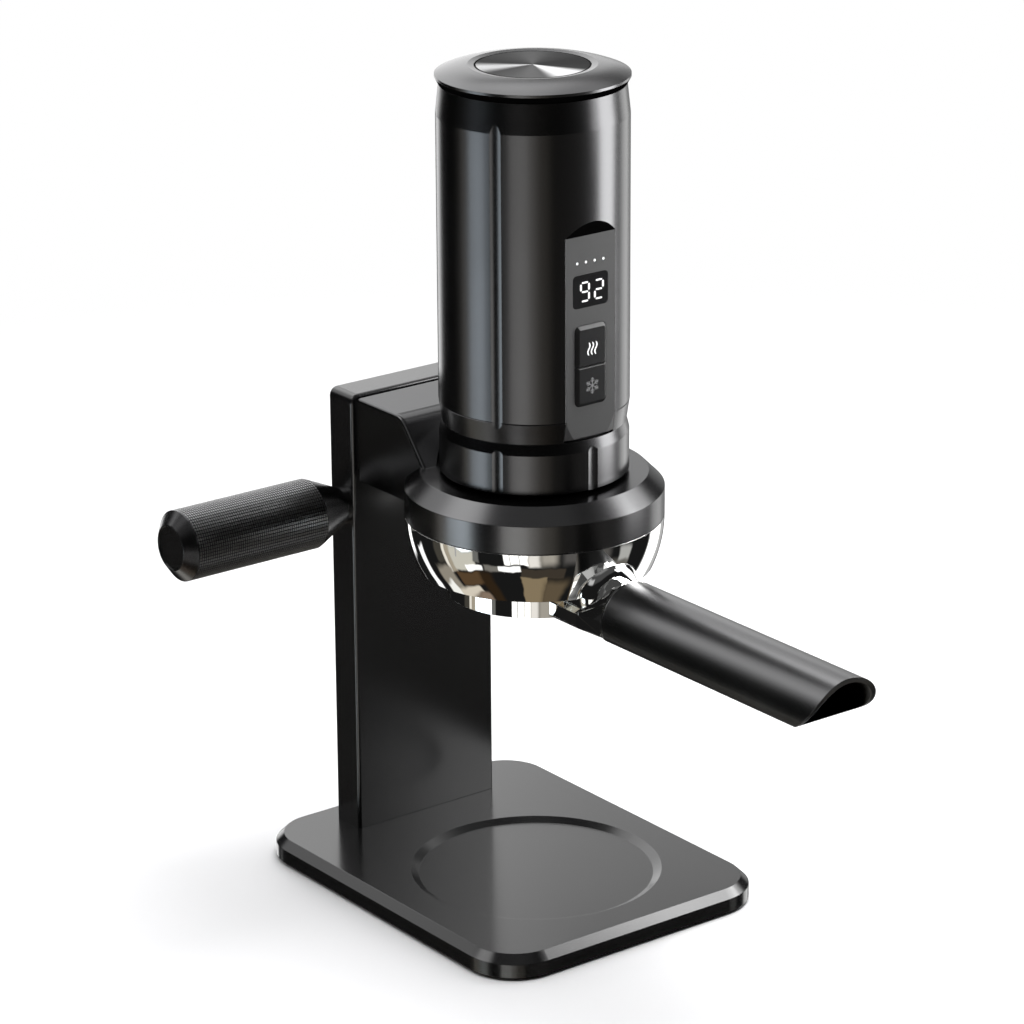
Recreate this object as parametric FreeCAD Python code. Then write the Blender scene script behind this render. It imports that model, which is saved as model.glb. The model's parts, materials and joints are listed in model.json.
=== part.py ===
import FreeCAD, Part
import math
import os

# Pump espresso machine on a bench stand. Millimetres, +Z up.
# The brewing axis is X = Y = 0, the front is -Y and the underside of the foot pad is Z = 0.

# Foot and base plate
pad_thickness = 1.2
pad_inset = 2.0
plate_thickness = 8.6
base_width = 130.2
base_front = 65.1
base_heel = 11.9
base_corner_radius = 21.0
base_chamfer = 3.2
cup_recess_radius = 49.1
cup_recess_depth = 1.8
cup_recess_bevel = 3.3
ballast_thickness = 4.4
ballast_margin = 12.0

# Column behind the brewing axis
column_width = 66.9
column_thickness = 15.4
column_front = 72.0
column_corner_radius = 3.5
column_edge_radius = 1.2

# Arm and collar
cup_height = 147.4
collar_height = 16.8
collar_radius = 49.4
collar_chamfer = 6.0
arm_rise = 17.3
arm_underside_step = 0.8
arm_slope_foot = 25.2
arm_slope_angle = 49.9
arm_brow_radius = 8.0
arm_edge_radius = 1.5
arm_shadow_gap = 3.2
arm_boss_inset = 3.0
body_pocket_gap = 1.3

# Group: lock ring, gasket and their bores in the collar
collar_bore_step = 2.35
collar_shelf_width = 2.1
collar_seat_depth = 2.0
collar_shelf_depth = 3.8
lug_bore_gap = 0.6
lock_ring_thickness = 3.2
lock_ring_width = 9.3
gasket_thickness = 2.9

# Side grip
grip_height = 144.7
grip_radius = 13.9
grip_tip_radius = 9.0
grip_reach = 79.6
grip_neck_length = 16.2
grip_root_radius = 7.5
grip_root_length = 2.0
grip_tip_chamfer = 3.75
grip_cap_land = 0.6
grip_spigot_radius = 8.0
grip_spigot_length = 6.0
stud_radius = 4.0
stud_depth = 20.0
grip_stud_length = 45.0

# Adapter and shower screen
adapter_setback = 0.15
adapter_height = 21.0
adapter_top_inset = 1.05
adapter_top_bevel = 4.15
adapter_bottom_bevel = 1.7
adapter_wall = 3.05
adapter_floor = 5.7
screen_thickness = 0.8
screen_rim = 2.6
screen_cavity_depth = 2.3
screen_hole_radius = 0.8
screen_hole_pitch = 5.4

# Brewer body
body_radius = 36.0
body_wall = 2.8
body_length = 128.9
body_foot_inset = 1.18
body_foot_bevel = 8.0
body_neck_inset = 1.2
body_neck_bevel = 11.4
body_seam_depth = 0.25
body_seam_half = 0.25
flute_width = 4.4
flute_depth = 0.36
flute_step = 60.0

# Control panel and keys
panel_cut_depth = 1.9
panel_thickness = 4.0
panel_length = 78.4
panel_facet_rise = 5.3
panel_flange = 1.8
panel_flange_thickness = 1.0
display_width = 16.3
display_height = 12.4
display_corner = 1.7
display_centre = 57.3
window_thickness = 1.1
light_radius = 0.7
light_pitch = 4.06
light_centre = 68.2
key_well_width = 14.7
key_well_height = 31.1
key_well_corner = 2.2
key_well_centre = 28.75
key_proud = 1.2
key_bevel = 1.2
key_split_bevel = 0.6
key_travel = 0.8
key_flange = 1.0
key_web = 1.5
board_thickness = 1.6
board_width = 24.0
switch_height = 0.9
switch_size = 4.5
port_width = 9.2
port_height = 3.4
port_depth = 7.0
port_centre = 17.0

# Brewer inside
head_flange_thickness = 3.2
head_skirt_length = 15.0
head_skirt_wall = 3.0
nozzle_radius = 4.0
nozzle_bore = 1.5
cell_length = 65.0
cell_margin = 1.2
cell_gap = 0.9
cell_angles = (-5.0, 50.0, 130.0, 185.0)
tray_thickness = 3.4
tray_wall = 2.0
post_radius = 2.5
post_margin = 0.9
post_angles = (22.5, 157.5, -54.0, -126.0)
pump_radius = 12.5
pump_height = 22.8
pump_wall = 3.0
motor_radius = 12.0
motor_length = 28.0
motor_wall = 1.4
shaft_radius = 1.5
cam_radius = 5.5
cam_offset = 1.5
cam_thickness = 6.0
heater_inset = 4.4
heater_thickness = 3.5
heater_space = 9.0
tank_inset = 0.6
tank_wall = 1.2
tank_height = 39.0
tank_flange = 1.2
tube_radius = 2.5
tube_bore = 1.5
tube_reach = 6.5
tube_bend = 5.0

# Lid
lid_overhang = 0.23
lid_rim = 1.0
lid_under_bevel = 2.2
lid_dome_height = 6.5
lid_crown_width = 12.23
lid_disc_inset = 2.7
lid_disc_thickness = 0.8
lid_disc_dip = 0.4
mouth_ring_width = 2.8
lid_plug_wall = 2.2
lid_plug_length = 11.2
lid_seal_thickness = 0.8

# Portafilter
bowl_depth = 20.2
bowl_wall = 2.6
bowl_floor = 2.6
outlet_radius = 34.1
outlet_height = 10.6
tube_wall = 5.1
rim_rise = 8.6
lug_reach = 4.4
lug_height = 3.5
lug_angle = 40.0
lug_entry_margin = 3.0
unlock_angle = 45.0
basket_lip_inset = 0.8
basket_lip_thickness = 1.2
basket_gap = 0.6
basket_wall = 0.8
basket_depth = 25.0
basket_hole_radius = 0.7
basket_hole_pitch = 5.2
spring_wire = 0.55
spring_drop = 5.0

# Handle
handle_radius = 16.3
handle_step = 0.95
handle_drop = 3.25
handle_corner = 4.5
handle_wall = 2.0
handle_start = 62.5
handle_tip = 179.7
handle_nose_radius = 20.6
handle_block = 13.5
handle_face_tilt = 0.21
trim_thickness = 1.0
neck_front = 46.0
neck_side_height = 6.4
neck_top_height = 12.0
neck_top_half = 5.5
neck_corner = 1.5
neck_boss_radius = 13.5
neck_boss_rise = 10.6
neck_boss_reach = 51.0
neck_boss_edge = 6.0
neck_root_share = 0.8
handle_stud_height = 8.9
handle_stud_length = 26.0

# Fasteners: shank radius, head radius, head height
m2 = (1.25, 2.25, 1.4)
m3 = (1.5, 2.8, 1.6)
m5 = (2.5, 4.25, 3.8)
m6 = (3.0, 5.0, 6.0)
thread_depth = 12.0
ballast_screw_inset = 10.0
arm_screw_spacing = 32.0
column_screw_spacing = 22.0
lock_screw_count = 3
lock_screw_angle = 45.0
lock_screw_thread = 6.0

# Clearances
running_fit = 0.05
thread_fit = 0.05
slip_gap = 0.3
twist_gap = 0.4
seam_gap = 0.08
liner_gap = 0.2

# Levels worked out from the sizes above
base_top = pad_thickness + plate_thickness
collar_bottom = base_top + cup_height
collar_top = collar_bottom + collar_height
arm_top = collar_top + arm_rise
arm_bottom = collar_bottom + arm_underside_step
column_back = column_front + column_thickness
base_back = column_back + base_heel
column_half = column_width / 2
column_middle = column_front + column_thickness / 2
collar_flat_radius = collar_radius - collar_chamfer
seat_level = collar_top - collar_seat_depth
shelf_level = collar_top - collar_shelf_depth
lock_ring_top = collar_bottom + lock_ring_thickness
tube_outer_radius = body_radius
tube_inner_radius = tube_outer_radius - tube_wall
lug_radius = tube_outer_radius + lug_reach
basket_lip_radius = tube_outer_radius - basket_lip_inset
basket_radius = tube_inner_radius - basket_gap
lock_ring_inner = tube_outer_radius + 2 * slip_gap
lock_ring_outer = lock_ring_inner + lock_ring_width
body_bottom = collar_top + adapter_height
body_top = body_bottom + body_length
body_bore = body_radius - body_wall
body_foot_radius = body_radius - body_foot_inset
body_neck_radius = body_radius - body_neck_inset
panel_flat = body_radius - panel_cut_depth
adapter_radius = body_radius - adapter_setback
adapter_top_radius = adapter_radius - adapter_top_inset
collar_bore_radius = adapter_radius - collar_bore_step
collar_shelf_radius = collar_bore_radius - collar_shelf_width
lug_bore_radius = lug_radius + lug_bore_gap
lid_bottom = body_top + slip_gap
lid_top = lid_bottom + lid_dome_height
inner_radius = body_bore - liner_gap
lid_radius = body_radius + lid_overhang
lid_crown_radius = lid_radius - lid_crown_width
lid_disc_radius = lid_crown_radius - lid_disc_inset
lid_plug_radius = inner_radius - mouth_ring_width - slip_gap
tank_radius = inner_radius - tank_inset
cell_radius = (inner_radius - cell_margin - pump_radius - cell_gap) / 2
cell_circle = inner_radius - cell_radius - cell_margin
post_circle = inner_radius - post_radius - post_margin
tube_axis = pump_radius + tube_reach

over = 2.0


def vec(x, y, z):
    return FreeCAD.Vector(x, y, z)


z_axis = vec(0, 0, 1)
y_axis = vec(0, 1, 0)
x_axis = vec(1, 0, 0)


def cylinder(radius, low, high, x=0.0, y=0.0):
    return Part.makeCylinder(radius, high - low, vec(x, y, low))


def ring(outer, inner, low, high):
    return cylinder(outer, low, high).cut(cylinder(inner, low - over, high + over))


def rod_y(radius, front, back, x, z):
    return Part.makeCylinder(radius, back - front, vec(x, front, z), y_axis)


def rod_x(radius, left, right, y, z):
    return Part.makeCylinder(radius, right - left, vec(left, y, z), x_axis)


def block(x_low, x_high, y_low, y_high, z_low, z_high):
    size = (x_high - x_low, y_high - y_low, z_high - z_low)
    return Part.makeBox(*size, vec(x_low, y_low, z_low))


def sector(outer, inner, low, high, middle_angle, width_angle):
    piece = Part.makeCylinder(outer, high - low, vec(0, 0, low), z_axis, width_angle)
    piece.rotate(vec(0, 0, 0), z_axis, middle_angle - width_angle / 2)
    return piece.cut(cylinder(inner, low - over, high + over))


def face_through(steps, place):
    """A face from steps: (a, b) is a line to that point, (a, b, c, d) an arc to it through (c, d)."""
    edges = []
    start = place(steps[0][0], steps[0][1])
    for step in steps[1:] + steps[:1]:
        end = place(step[0], step[1])
        if len(step) == 4:
            edges.append(Part.Arc(start, place(step[2], step[3]), end).toShape())
        else:
            edges.append(Part.makeLine(start, end))
        start = end
    return Part.Face(Part.Wire(edges))


def turned(steps):
    face = face_through(steps, lambda radius, level: vec(radius, 0, level))
    return face.revolve(vec(0, 0, 0), z_axis, 360)


def side_prism(steps, half_width):
    """A YZ outline carried from -half_width to +half_width along X."""
    face = face_through(steps, lambda y, z: vec(-half_width, y, z))
    return face.extrude(vec(2 * half_width, 0, 0))


def edges_along(solid, axis, wanted=lambda middle: True):
    picked = []
    for edge in solid.Edges:
        straight = edge.Curve.TypeId == "Part::GeomLine"
        if straight and abs(edge.tangentAt(edge.FirstParameter).dot(axis)) > 0.999:
            if wanted(edge.CenterOfMass):
                picked.append(edge)
    return picked


def near(value, target):
    return abs(value - target) < 1e-4


def around(radius, angles):
    turns = [math.radians(angle) for angle in angles]
    return [(radius * math.cos(turn), radius * math.sin(turn)) for turn in turns]


def turned_to(solid, direction, place):
    """Turn a solid that was built along +Z to point along direction and move it to place."""
    solid.Placement = FreeCAD.Placement(place, FreeCAD.Rotation(z_axis, direction))
    return solid


def socket_screw(size, length, place, direction):
    """Cap screw built along +Z: the shank runs from 0 to length, the head lies below 0."""
    shank, head, height = size
    screw = cylinder(shank, 0, length).fuse(cylinder(head, -height, 0))
    corners = [(math.cos(math.radians(a)), math.sin(math.radians(a))) for a in range(0, 361, 60)]
    flats = [vec(c * shank * 0.95, s * shank * 0.95, -height) for c, s in corners]
    socket = Part.Face(Part.makePolygon(flats)).extrude(vec(0, 0, height * 0.5))
    return turned_to(screw.cut(socket).removeSplitter(), direction, place)


def screw_hole(size, length, place, direction, counterbore):
    """Hole for socket_screw with a counterbore of the given depth behind the head."""
    shank, head, height = size
    hole = cylinder(shank + thread_fit, -over, length + slip_gap)
    hole = hole.fuse(cylinder(head + slip_gap, -counterbore, 0))
    return turned_to(hole, direction, place)


def save(name, shape):
    shape = shape.removeSplitter()
    if not shape.isValid():
        print("not valid:", name)
    shape.exportStep("parts/" + name + ".step")


def joined(solids):
    result = solids[0]
    for solid in solids[1:]:
        result = result.fuse(solid)
    return result


# Base


def base_outline(inset, low, high):
    edge = block(-base_width / 2 + inset, base_width / 2 - inset,
                 -base_front + inset, base_back - inset, low, high)
    return edge.makeFillet(base_corner_radius - inset, edges_along(edge, z_axis))


def ballast_places():
    reach = base_width / 2 - ballast_margin - ballast_screw_inset
    return [(sx * reach, sy * reach) for sx in (-1, 1) for sy in (-1, 1)]


def column_screw_places():
    return [(step * column_screw_spacing, column_middle) for step in (-1, 0, 1)]


def ballast_block(gap, low, high):
    half = base_width / 2 - ballast_margin - gap
    slab = block(-half, half, -half, half, low, high)
    return slab.makeFillet(base_corner_radius / 2, edges_along(slab, z_axis))


pocket_ceiling = pad_thickness + slip_gap + ballast_thickness
column_head_level = pad_thickness + m5[2] + slip_gap
ballast_head_level = pad_thickness + 2 * slip_gap + m3[2]


def make_base_plate():
    plate = base_outline(0, pad_thickness, base_top)
    rim = [edge for edge in plate.Edges if near(edge.BoundBox.ZMin, base_top)]
    plate = plate.makeChamfer(base_chamfer, rim)
    floor = base_top - cup_recess_depth
    inner = cup_recess_radius - cup_recess_bevel
    plate = plate.cut(turned([(0, floor), (inner, floor), (cup_recess_radius, base_top),
                              (cup_recess_radius, base_top + over), (0, base_top + over)]))
    plate = plate.cut(ballast_block(0, pad_thickness - over, pocket_ceiling))
    for x, y in ballast_places():
        plate = plate.cut(cylinder(m3[0] + thread_fit, pocket_ceiling - over, floor - slip_gap, x, y))
    for x, y in column_screw_places():
        plate = plate.cut(screw_hole(m5, plate_thickness, vec(x, y, column_head_level), z_axis,
                                     column_head_level - pad_thickness + over))
    return plate


def make_base_weight():
    weight = ballast_block(slip_gap, pad_thickness + slip_gap, pocket_ceiling)
    for x, y in ballast_places():
        hole = screw_hole(m3, ballast_thickness, vec(x, y, ballast_head_level), z_axis, m3[2] + over)
        weight = weight.cut(hole)
    return weight


def make_weight_screws():
    top = base_top - cup_recess_depth - 2 * slip_gap
    length = top - ballast_head_level
    return Part.makeCompound([socket_screw(m3, length, vec(x, y, ballast_head_level), z_axis)
                              for x, y in ballast_places()])


def make_base_pad():
    return base_outline(pad_inset, 0, pad_thickness)


def make_column_screws():
    length = base_top - column_head_level + thread_depth
    return Part.makeCompound([socket_screw(m5, length, vec(x, y, column_head_level), z_axis)
                              for x, y in column_screw_places()])


# Column and arm


def arm_screw_places():
    level = (arm_top + arm_bottom) / 2
    return [(side * arm_screw_spacing / 2, level) for side in (-1, 1)]


arm_head_plane = column_back - m6[2] - 1.0


def make_column():
    slab = block(-column_half, column_half, column_front, column_back, base_top, arm_top)
    shoulders = edges_along(slab, y_axis, lambda middle: near(middle.z, arm_top))
    slab = slab.makeFillet(column_corner_radius, shoulders)
    rims = [edge for edge in slab.Edges
            if edge.BoundBox.YLength < 1e-6 and not near(edge.BoundBox.ZMax, base_top)]
    slab = slab.makeFillet(column_edge_radius, rims)
    for x, y in column_screw_places():
        slab = slab.cut(cylinder(m5[0] + thread_fit, base_top - over, base_top + thread_depth + over, x, y))
    for x, z in arm_screw_places():
        hole = screw_hole(m6, column_thickness, vec(x, arm_head_plane, z), -y_axis,
                          column_back - arm_head_plane + over)
        slab = slab.cut(hole)
    stud_hole = rod_x(stud_radius + thread_fit, -column_half - over, -column_half + stud_depth + slip_gap,
                      column_middle, grip_height)
    return slab.cut(stud_hole)


def arm_block():
    back = column_front - arm_shadow_gap
    brow = arm_slope_foot + arm_rise / math.tan(math.radians(arm_slope_angle))
    steps = [(back, arm_bottom), (back, arm_top), (brow, arm_top),
             (arm_slope_foot, collar_top), (arm_slope_foot, arm_bottom)]
    body = side_prism(steps, column_half)
    brow_edge = edges_along(body, x_axis, lambda m: near(m.y, brow) and near(m.z, arm_top))
    body = body.makeFillet(arm_brow_radius, brow_edge)
    sides = [edge for edge in body.Edges
             if edge.BoundBox.XLength < 1e-6
             and (edge.CenterOfMass.z > collar_top + 1 or near(edge.CenterOfMass.y, back))
             and not near(edge.CenterOfMass.y, arm_slope_foot)]
    back_top = edges_along(body, x_axis, lambda m: near(m.y, back) and near(m.z, arm_top))
    return body.makeFillet(arm_edge_radius, sides + back_top)


def make_arm():
    collar = turned([(0, collar_bottom), (collar_radius, collar_bottom),
                     (collar_radius, collar_top - collar_chamfer), (collar_flat_radius, collar_top),
                     (0, collar_top)])
    boss_low = arm_bottom + arm_boss_inset
    boss = block(-column_half + arm_boss_inset, column_half - arm_boss_inset,
                 column_front - arm_shadow_gap - over, column_front, boss_low, arm_top - arm_boss_inset)
    arm = joined([arm_block(), collar, boss])
    arm = arm.cut(cylinder(body_radius + body_pocket_gap, collar_top, arm_top + over))
    arm = arm.cut(cylinder(collar_bore_radius, seat_level, collar_top + over))
    arm = arm.cut(cylinder(collar_shelf_radius, shelf_level - over, seat_level + over))
    arm = arm.cut(cylinder(lug_bore_radius, collar_bottom - over, shelf_level))
    arm = arm.cut(cylinder(lock_ring_outer + seam_gap, collar_bottom - over, lock_ring_top))
    for x, z in arm_screw_places():
        hole = rod_y(m6[0] + thread_fit, column_front - thread_depth - over, column_front + over, x, z)
        arm = arm.cut(hole)
    for x, y in lock_screw_places():
        arm = arm.cut(cylinder(m2[0] + thread_fit, lock_ring_top - over,
                               lock_ring_top + lock_screw_thread + slip_gap, x, y))
    return arm


def make_arm_screws():
    length = arm_head_plane - column_front + thread_depth
    return Part.makeCompound([socket_screw(m6, length, vec(x, arm_head_plane, z), -y_axis)
                              for x, z in arm_screw_places()])


def lock_screw_places():
    circle = lock_ring_outer - m2[1] - 2 * slip_gap + seam_gap
    step = 360.0 / lock_screw_count
    return around(circle, [lock_screw_angle + step * number for number in range(lock_screw_count)])


def make_lock_ring():
    plate = ring(lock_ring_outer, lock_ring_inner, collar_bottom, lock_ring_top)
    for side in (0, 180):
        entry = sector(lug_radius + slip_gap, lock_ring_inner - over, collar_bottom - over,
                       lock_ring_top + over, side - unlock_angle, lug_angle + 2 * lug_entry_margin)
        plate = plate.cut(entry)
    for x, y in lock_screw_places():
        head_level = collar_bottom + m2[2]
        plate = plate.cut(screw_hole(m2, lock_ring_thickness, vec(x, y, head_level), z_axis, m2[2] + over))
    return plate


def make_lock_ring_screws():
    head_level = collar_bottom + m2[2]
    length = lock_ring_top + lock_screw_thread - head_level
    return Part.makeCompound([socket_screw(m2, length, vec(x, y, head_level), z_axis)
                              for x, y in lock_screw_places()])


def make_group_gasket():
    inner = collar_shelf_radius + slip_gap
    return ring(basket_lip_radius + 1.1, inner, shelf_level - gasket_thickness, shelf_level)


# Side grip, along -X from the column

grip_tip = -column_half - grip_reach
grip_barrel_start = -column_half - grip_neck_length
grip_rim = grip_tip + grip_tip_chamfer
grip_cap_joint = grip_rim + grip_cap_land


def along_grip(steps):
    """Turn (radius, x) steps about the grip's own axis."""
    face = face_through(steps, lambda radius, x: vec(x, column_middle + radius, grip_height))
    return face.revolve(vec(0, column_middle, grip_height), x_axis, 360)


def make_grip_stud():
    return rod_x(stud_radius, -column_half - grip_neck_length - grip_stud_length,
                 -column_half + stud_depth, column_middle, grip_height)


def make_grip_neck():
    bore = stud_radius + thread_fit
    root = -column_half - grip_root_length
    return along_grip([(bore, -column_half), (grip_root_radius, -column_half), (grip_root_radius, root),
                       (grip_radius, grip_barrel_start), (bore, grip_barrel_start)])


def make_grip_sleeve():
    bore = stud_radius + thread_fit
    end = grip_cap_joint + grip_spigot_length + slip_gap
    mouth = grip_spigot_radius + thread_fit
    return along_grip([(bore, grip_barrel_start), (grip_radius, grip_barrel_start),
                       (grip_radius, grip_cap_joint), (mouth, grip_cap_joint), (mouth, end), (bore, end)])


def make_grip_end_cap():
    dish = grip_tip_radius - 0.5
    spigot = grip_cap_joint + grip_spigot_length
    return along_grip([(0, spigot), (grip_spigot_radius, spigot), (grip_spigot_radius, grip_cap_joint),
                       (grip_radius, grip_cap_joint), (grip_radius, grip_rim), (grip_tip_radius, grip_tip),
                       (dish, grip_tip), (dish, grip_tip + 0.4), (0, grip_tip + 0.4)])


# Adapter between the collar and the brewer

plug_radius = collar_bore_radius - slip_gap
lower_plug_radius = collar_shelf_radius - slip_gap
screen_cavity_radius = lower_plug_radius - screen_rim
screen_top = shelf_level - 2.0
adapter_floor_bottom = seat_level + slip_gap
adapter_floor_top = adapter_floor_bottom + adapter_floor
cavity_top = screen_top + screen_cavity_depth
socket_bottom = adapter_floor_top - 3.5
adapter_bore = adapter_radius - adapter_wall


def flutes(radius, low, high, angles):
    """Shallow rounded flutes: the cutter's radius follows from their width and depth."""
    half = flute_width / 2
    cutter = 1 / (2 * flute_depth / half ** 2 - 1 / radius)
    centre = radius - flute_depth + cutter
    cutters = []
    for angle in angles:
        turn = math.radians(angle - 90)
        cutters.append(cylinder(cutter, low, high, centre * math.cos(turn), centre * math.sin(turn)))
    return cutters


def make_adapter_ring():
    foot = adapter_radius - adapter_bottom_bevel
    shape = turned([(0, screen_top), (lower_plug_radius, screen_top),
                    (lower_plug_radius, adapter_floor_bottom), (plug_radius, adapter_floor_bottom),
                    (plug_radius, collar_top), (foot, collar_top),
                    (adapter_radius, collar_top + adapter_bottom_bevel),
                    (adapter_radius, body_bottom - adapter_top_bevel), (adapter_top_radius, body_bottom),
                    (adapter_bore, body_bottom), (adapter_bore, adapter_floor_top), (0, adapter_floor_top)])
    count = int(360 / flute_step)
    angles = [flute_step * number for number in range(count)]
    for cutter in flutes(adapter_radius, collar_top + adapter_bottom_bevel / 2, body_bottom + over, angles):
        shape = shape.cut(cutter)
    shape = shape.cut(cylinder(screen_cavity_radius, screen_top - over, cavity_top))
    shape = shape.cut(cylinder(nozzle_radius + 2 * slip_gap, socket_bottom, adapter_floor_top + over))
    shape = shape.cut(cylinder(m5[0] + thread_fit, cavity_top - over, socket_bottom - 1.0))
    for angle in (0, 120, 240):
        turn = math.radians(angle)
        reach = m5[0] + 1.1
        channel = cylinder(nozzle_bore / 2, cavity_top - over, socket_bottom + over,
                           reach * math.cos(turn), reach * math.sin(turn))
        shape = shape.cut(channel)
    return shape


def hole_pattern(pitch, reach, hole, low, high, centre_hole):
    """Holes on a triangular grid out to reach."""
    holes = []
    rows = int(reach / pitch) + 1
    for row in range(-rows, rows + 1):
        for column in range(-rows, rows + 1):
            x = pitch * (column + 0.5 * row)
            y = pitch * row * math.sqrt(3) / 2
            at_centre = row == 0 and column == 0
            if math.hypot(x, y) <= reach and (centre_hole or not at_centre):
                holes.append(cylinder(hole, low, high, x, y))
    return Part.makeCompound(holes)


def make_shower_screen():
    low = screen_top - screen_thickness
    disc = cylinder(lower_plug_radius - 0.5, low, screen_top)
    disc = disc.cut(hole_pattern(screen_hole_pitch, screen_cavity_radius - 2, screen_hole_radius,
                                 low - over, screen_top + over, False))
    return disc.cut(cylinder(m5[0] + thread_fit, low - over, screen_top + over))


def make_screen_screw():
    low = screen_top - screen_thickness
    head = (m5[0], m5[1], 1.4)
    return socket_screw(head, socket_bottom - 1.5 - low, vec(0, 0, low), z_axis)


# Brewer shell and panel

panel_top = body_bottom + panel_length
panel_half = math.sqrt(body_radius ** 2 - panel_flat ** 2)
key_middle = body_bottom + key_well_centre
key_low = key_middle - key_well_height / 2
key_high = key_middle + key_well_height / 2
display_middle = body_bottom + display_centre
panel_back = -panel_flat + panel_thickness
panel_flange_back = panel_back + panel_flange_thickness


def body_form():
    """The solid of the outer form: foot bevel, a fine seam groove, the barrel and the neck bevel."""
    seam = body_bottom + body_foot_bevel
    share = (body_foot_bevel - body_seam_half) / body_foot_bevel
    seam_radius = body_foot_radius + (body_radius - body_foot_radius) * share
    return turned([(0, body_bottom), (body_foot_radius, body_bottom),
                   (seam_radius, seam - body_seam_half), (body_radius - body_seam_depth, seam),
                   (body_radius, seam + body_seam_half), (body_radius, body_top - body_neck_bevel),
                   (body_neck_radius, body_top), (0, body_top)])


def make_body_shell():
    shell = body_form()
    angles = [flute_step * number for number in range(1, int(360 / flute_step))]
    for cutter in flutes(body_radius, body_bottom - over, body_top + over, angles):
        shell = shell.cut(cutter)
    shell = shell.cut(cylinder(body_bore, body_bottom - over, body_top + over))
    slope = panel_facet_rise / (body_radius - panel_flat)
    run = body_radius - panel_flat + over
    facet = [(-panel_flat, panel_top), (-panel_flat - run, panel_top + run * slope),
             (-panel_flat - run, panel_top)]
    shell = shell.cut(side_prism(facet, panel_half + over))
    window = block(-panel_half, panel_half, -body_radius - over, -body_bore / 2,
                   body_bottom - over, panel_top)
    shell = shell.cut(window)
    return shell.cut(port_hole(slip_gap / 2, body_radius + over))


def port_hole(gap, back):
    level = body_bottom + port_centre
    half = port_width / 2 - port_height / 2
    radius = port_height / 2 + gap
    front = body_bore - port_depth
    slot = rod_y(radius, front, back, -half, level).fuse(rod_y(radius, front, back, half, level))
    return slot.fuse(block(-half, half, front, back, level - radius, level + radius))


def make_charge_port():
    front = body_bore - port_depth
    level = body_bottom + port_centre
    barrel = port_hole(0, body_radius - 1.2)
    hollow = port_hole(-0.5, body_radius).cut(block(-port_width, port_width, front - over, front + 1.5,
                                                    level - port_height, level + port_height))
    tongue = block(-port_width / 2 + 1.6, port_width / 2 - 1.6, front, body_radius - 2.2,
                   level - 0.35, level + 0.35)
    carrier = block(-port_width / 2 - 1.5, port_width / 2 + 1.5, front - 1.6, front,
                    level - port_height, level + port_height)
    return joined([barrel.cut(hollow), tongue, carrier])


def rounded_plate(width, height, corner, front, back, middle_z):
    plate = block(-width / 2, width / 2, front, back, middle_z - height / 2, middle_z + height / 2)
    return plate.makeFillet(corner, edges_along(plate, y_axis))


def light_places():
    level = body_bottom + light_centre
    return [(light_pitch * (number - 1.5), level) for number in range(4)]


def make_control_panel():
    low = body_bottom + head_clear
    front = block(-panel_half + seam_gap, panel_half - seam_gap, -panel_flat, panel_back,
                  low, panel_top - seam_gap)
    front = front.common(body_form())
    flange = block(-panel_half - panel_flange, panel_half + panel_flange, panel_back, panel_flange_back,
                   low + 6.0, panel_top - 4.0)
    panel = front.fuse(flange)
    panel = panel.cut(rounded_plate(display_width + 2 * seam_gap, display_height + 2 * seam_gap,
                                    display_corner, -panel_flat - over,
                                    -panel_flat + window_thickness, display_middle))
    panel = panel.cut(rounded_plate(display_width - 2.4, display_height - 2.4, display_corner / 2,
                                    -panel_flat, panel_flange_back + over, display_middle))
    panel = panel.cut(rounded_plate(key_well_width, key_well_height, key_well_corner,
                                    -panel_flat - over, panel_flange_back + over, key_middle))
    panel = panel.cut(rounded_plate(key_well_width + 2 * key_flange + 2 * slip_gap,
                                    key_well_height + 2 * key_flange + 2 * slip_gap, key_well_corner,
                                    -panel_flat + key_web, panel_flange_back + over, key_middle))
    for x, z in light_places():
        panel = panel.cut(rod_y(light_radius + seam_gap, -panel_flat - over, panel_flange_back + over, x, z))
    return panel


head_clear = 1.0


def make_display_window():
    return rounded_plate(display_width, display_height, display_corner, -panel_flat + 0.05,
                         -panel_flat + window_thickness, display_middle)


board_front = panel_flange_back + 1.6
board_back = board_front + board_thickness


def make_display_module():
    return rounded_plate(display_width - 3.4, display_height - 3.4, 0.5,
                         -panel_flat + window_thickness, board_front, display_middle)


def make_indicator_lights():
    return Part.makeCompound([rod_y(light_radius, -panel_flat + 0.05, board_front, x, z)
                              for x, z in light_places()])


def make_control_board():
    board = block(-board_width / 2, board_width / 2, board_front, board_back,
                  body_bottom + head_clear + 7.0, panel_top - 5.0)
    clip_level = (key_high + display_middle - display_height / 2) / 2
    for side in (-1, 1):
        x = side * (board_width / 2 - 2.0)
        board = board.fuse(rod_y(1.2, panel_flange_back, board_front, x, clip_level))
    return board


def key_levels(upper):
    if upper:
        return key_middle + slip_gap / 2, key_high - slip_gap / 2
    return key_low + slip_gap / 2, key_middle - slip_gap / 2


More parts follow.
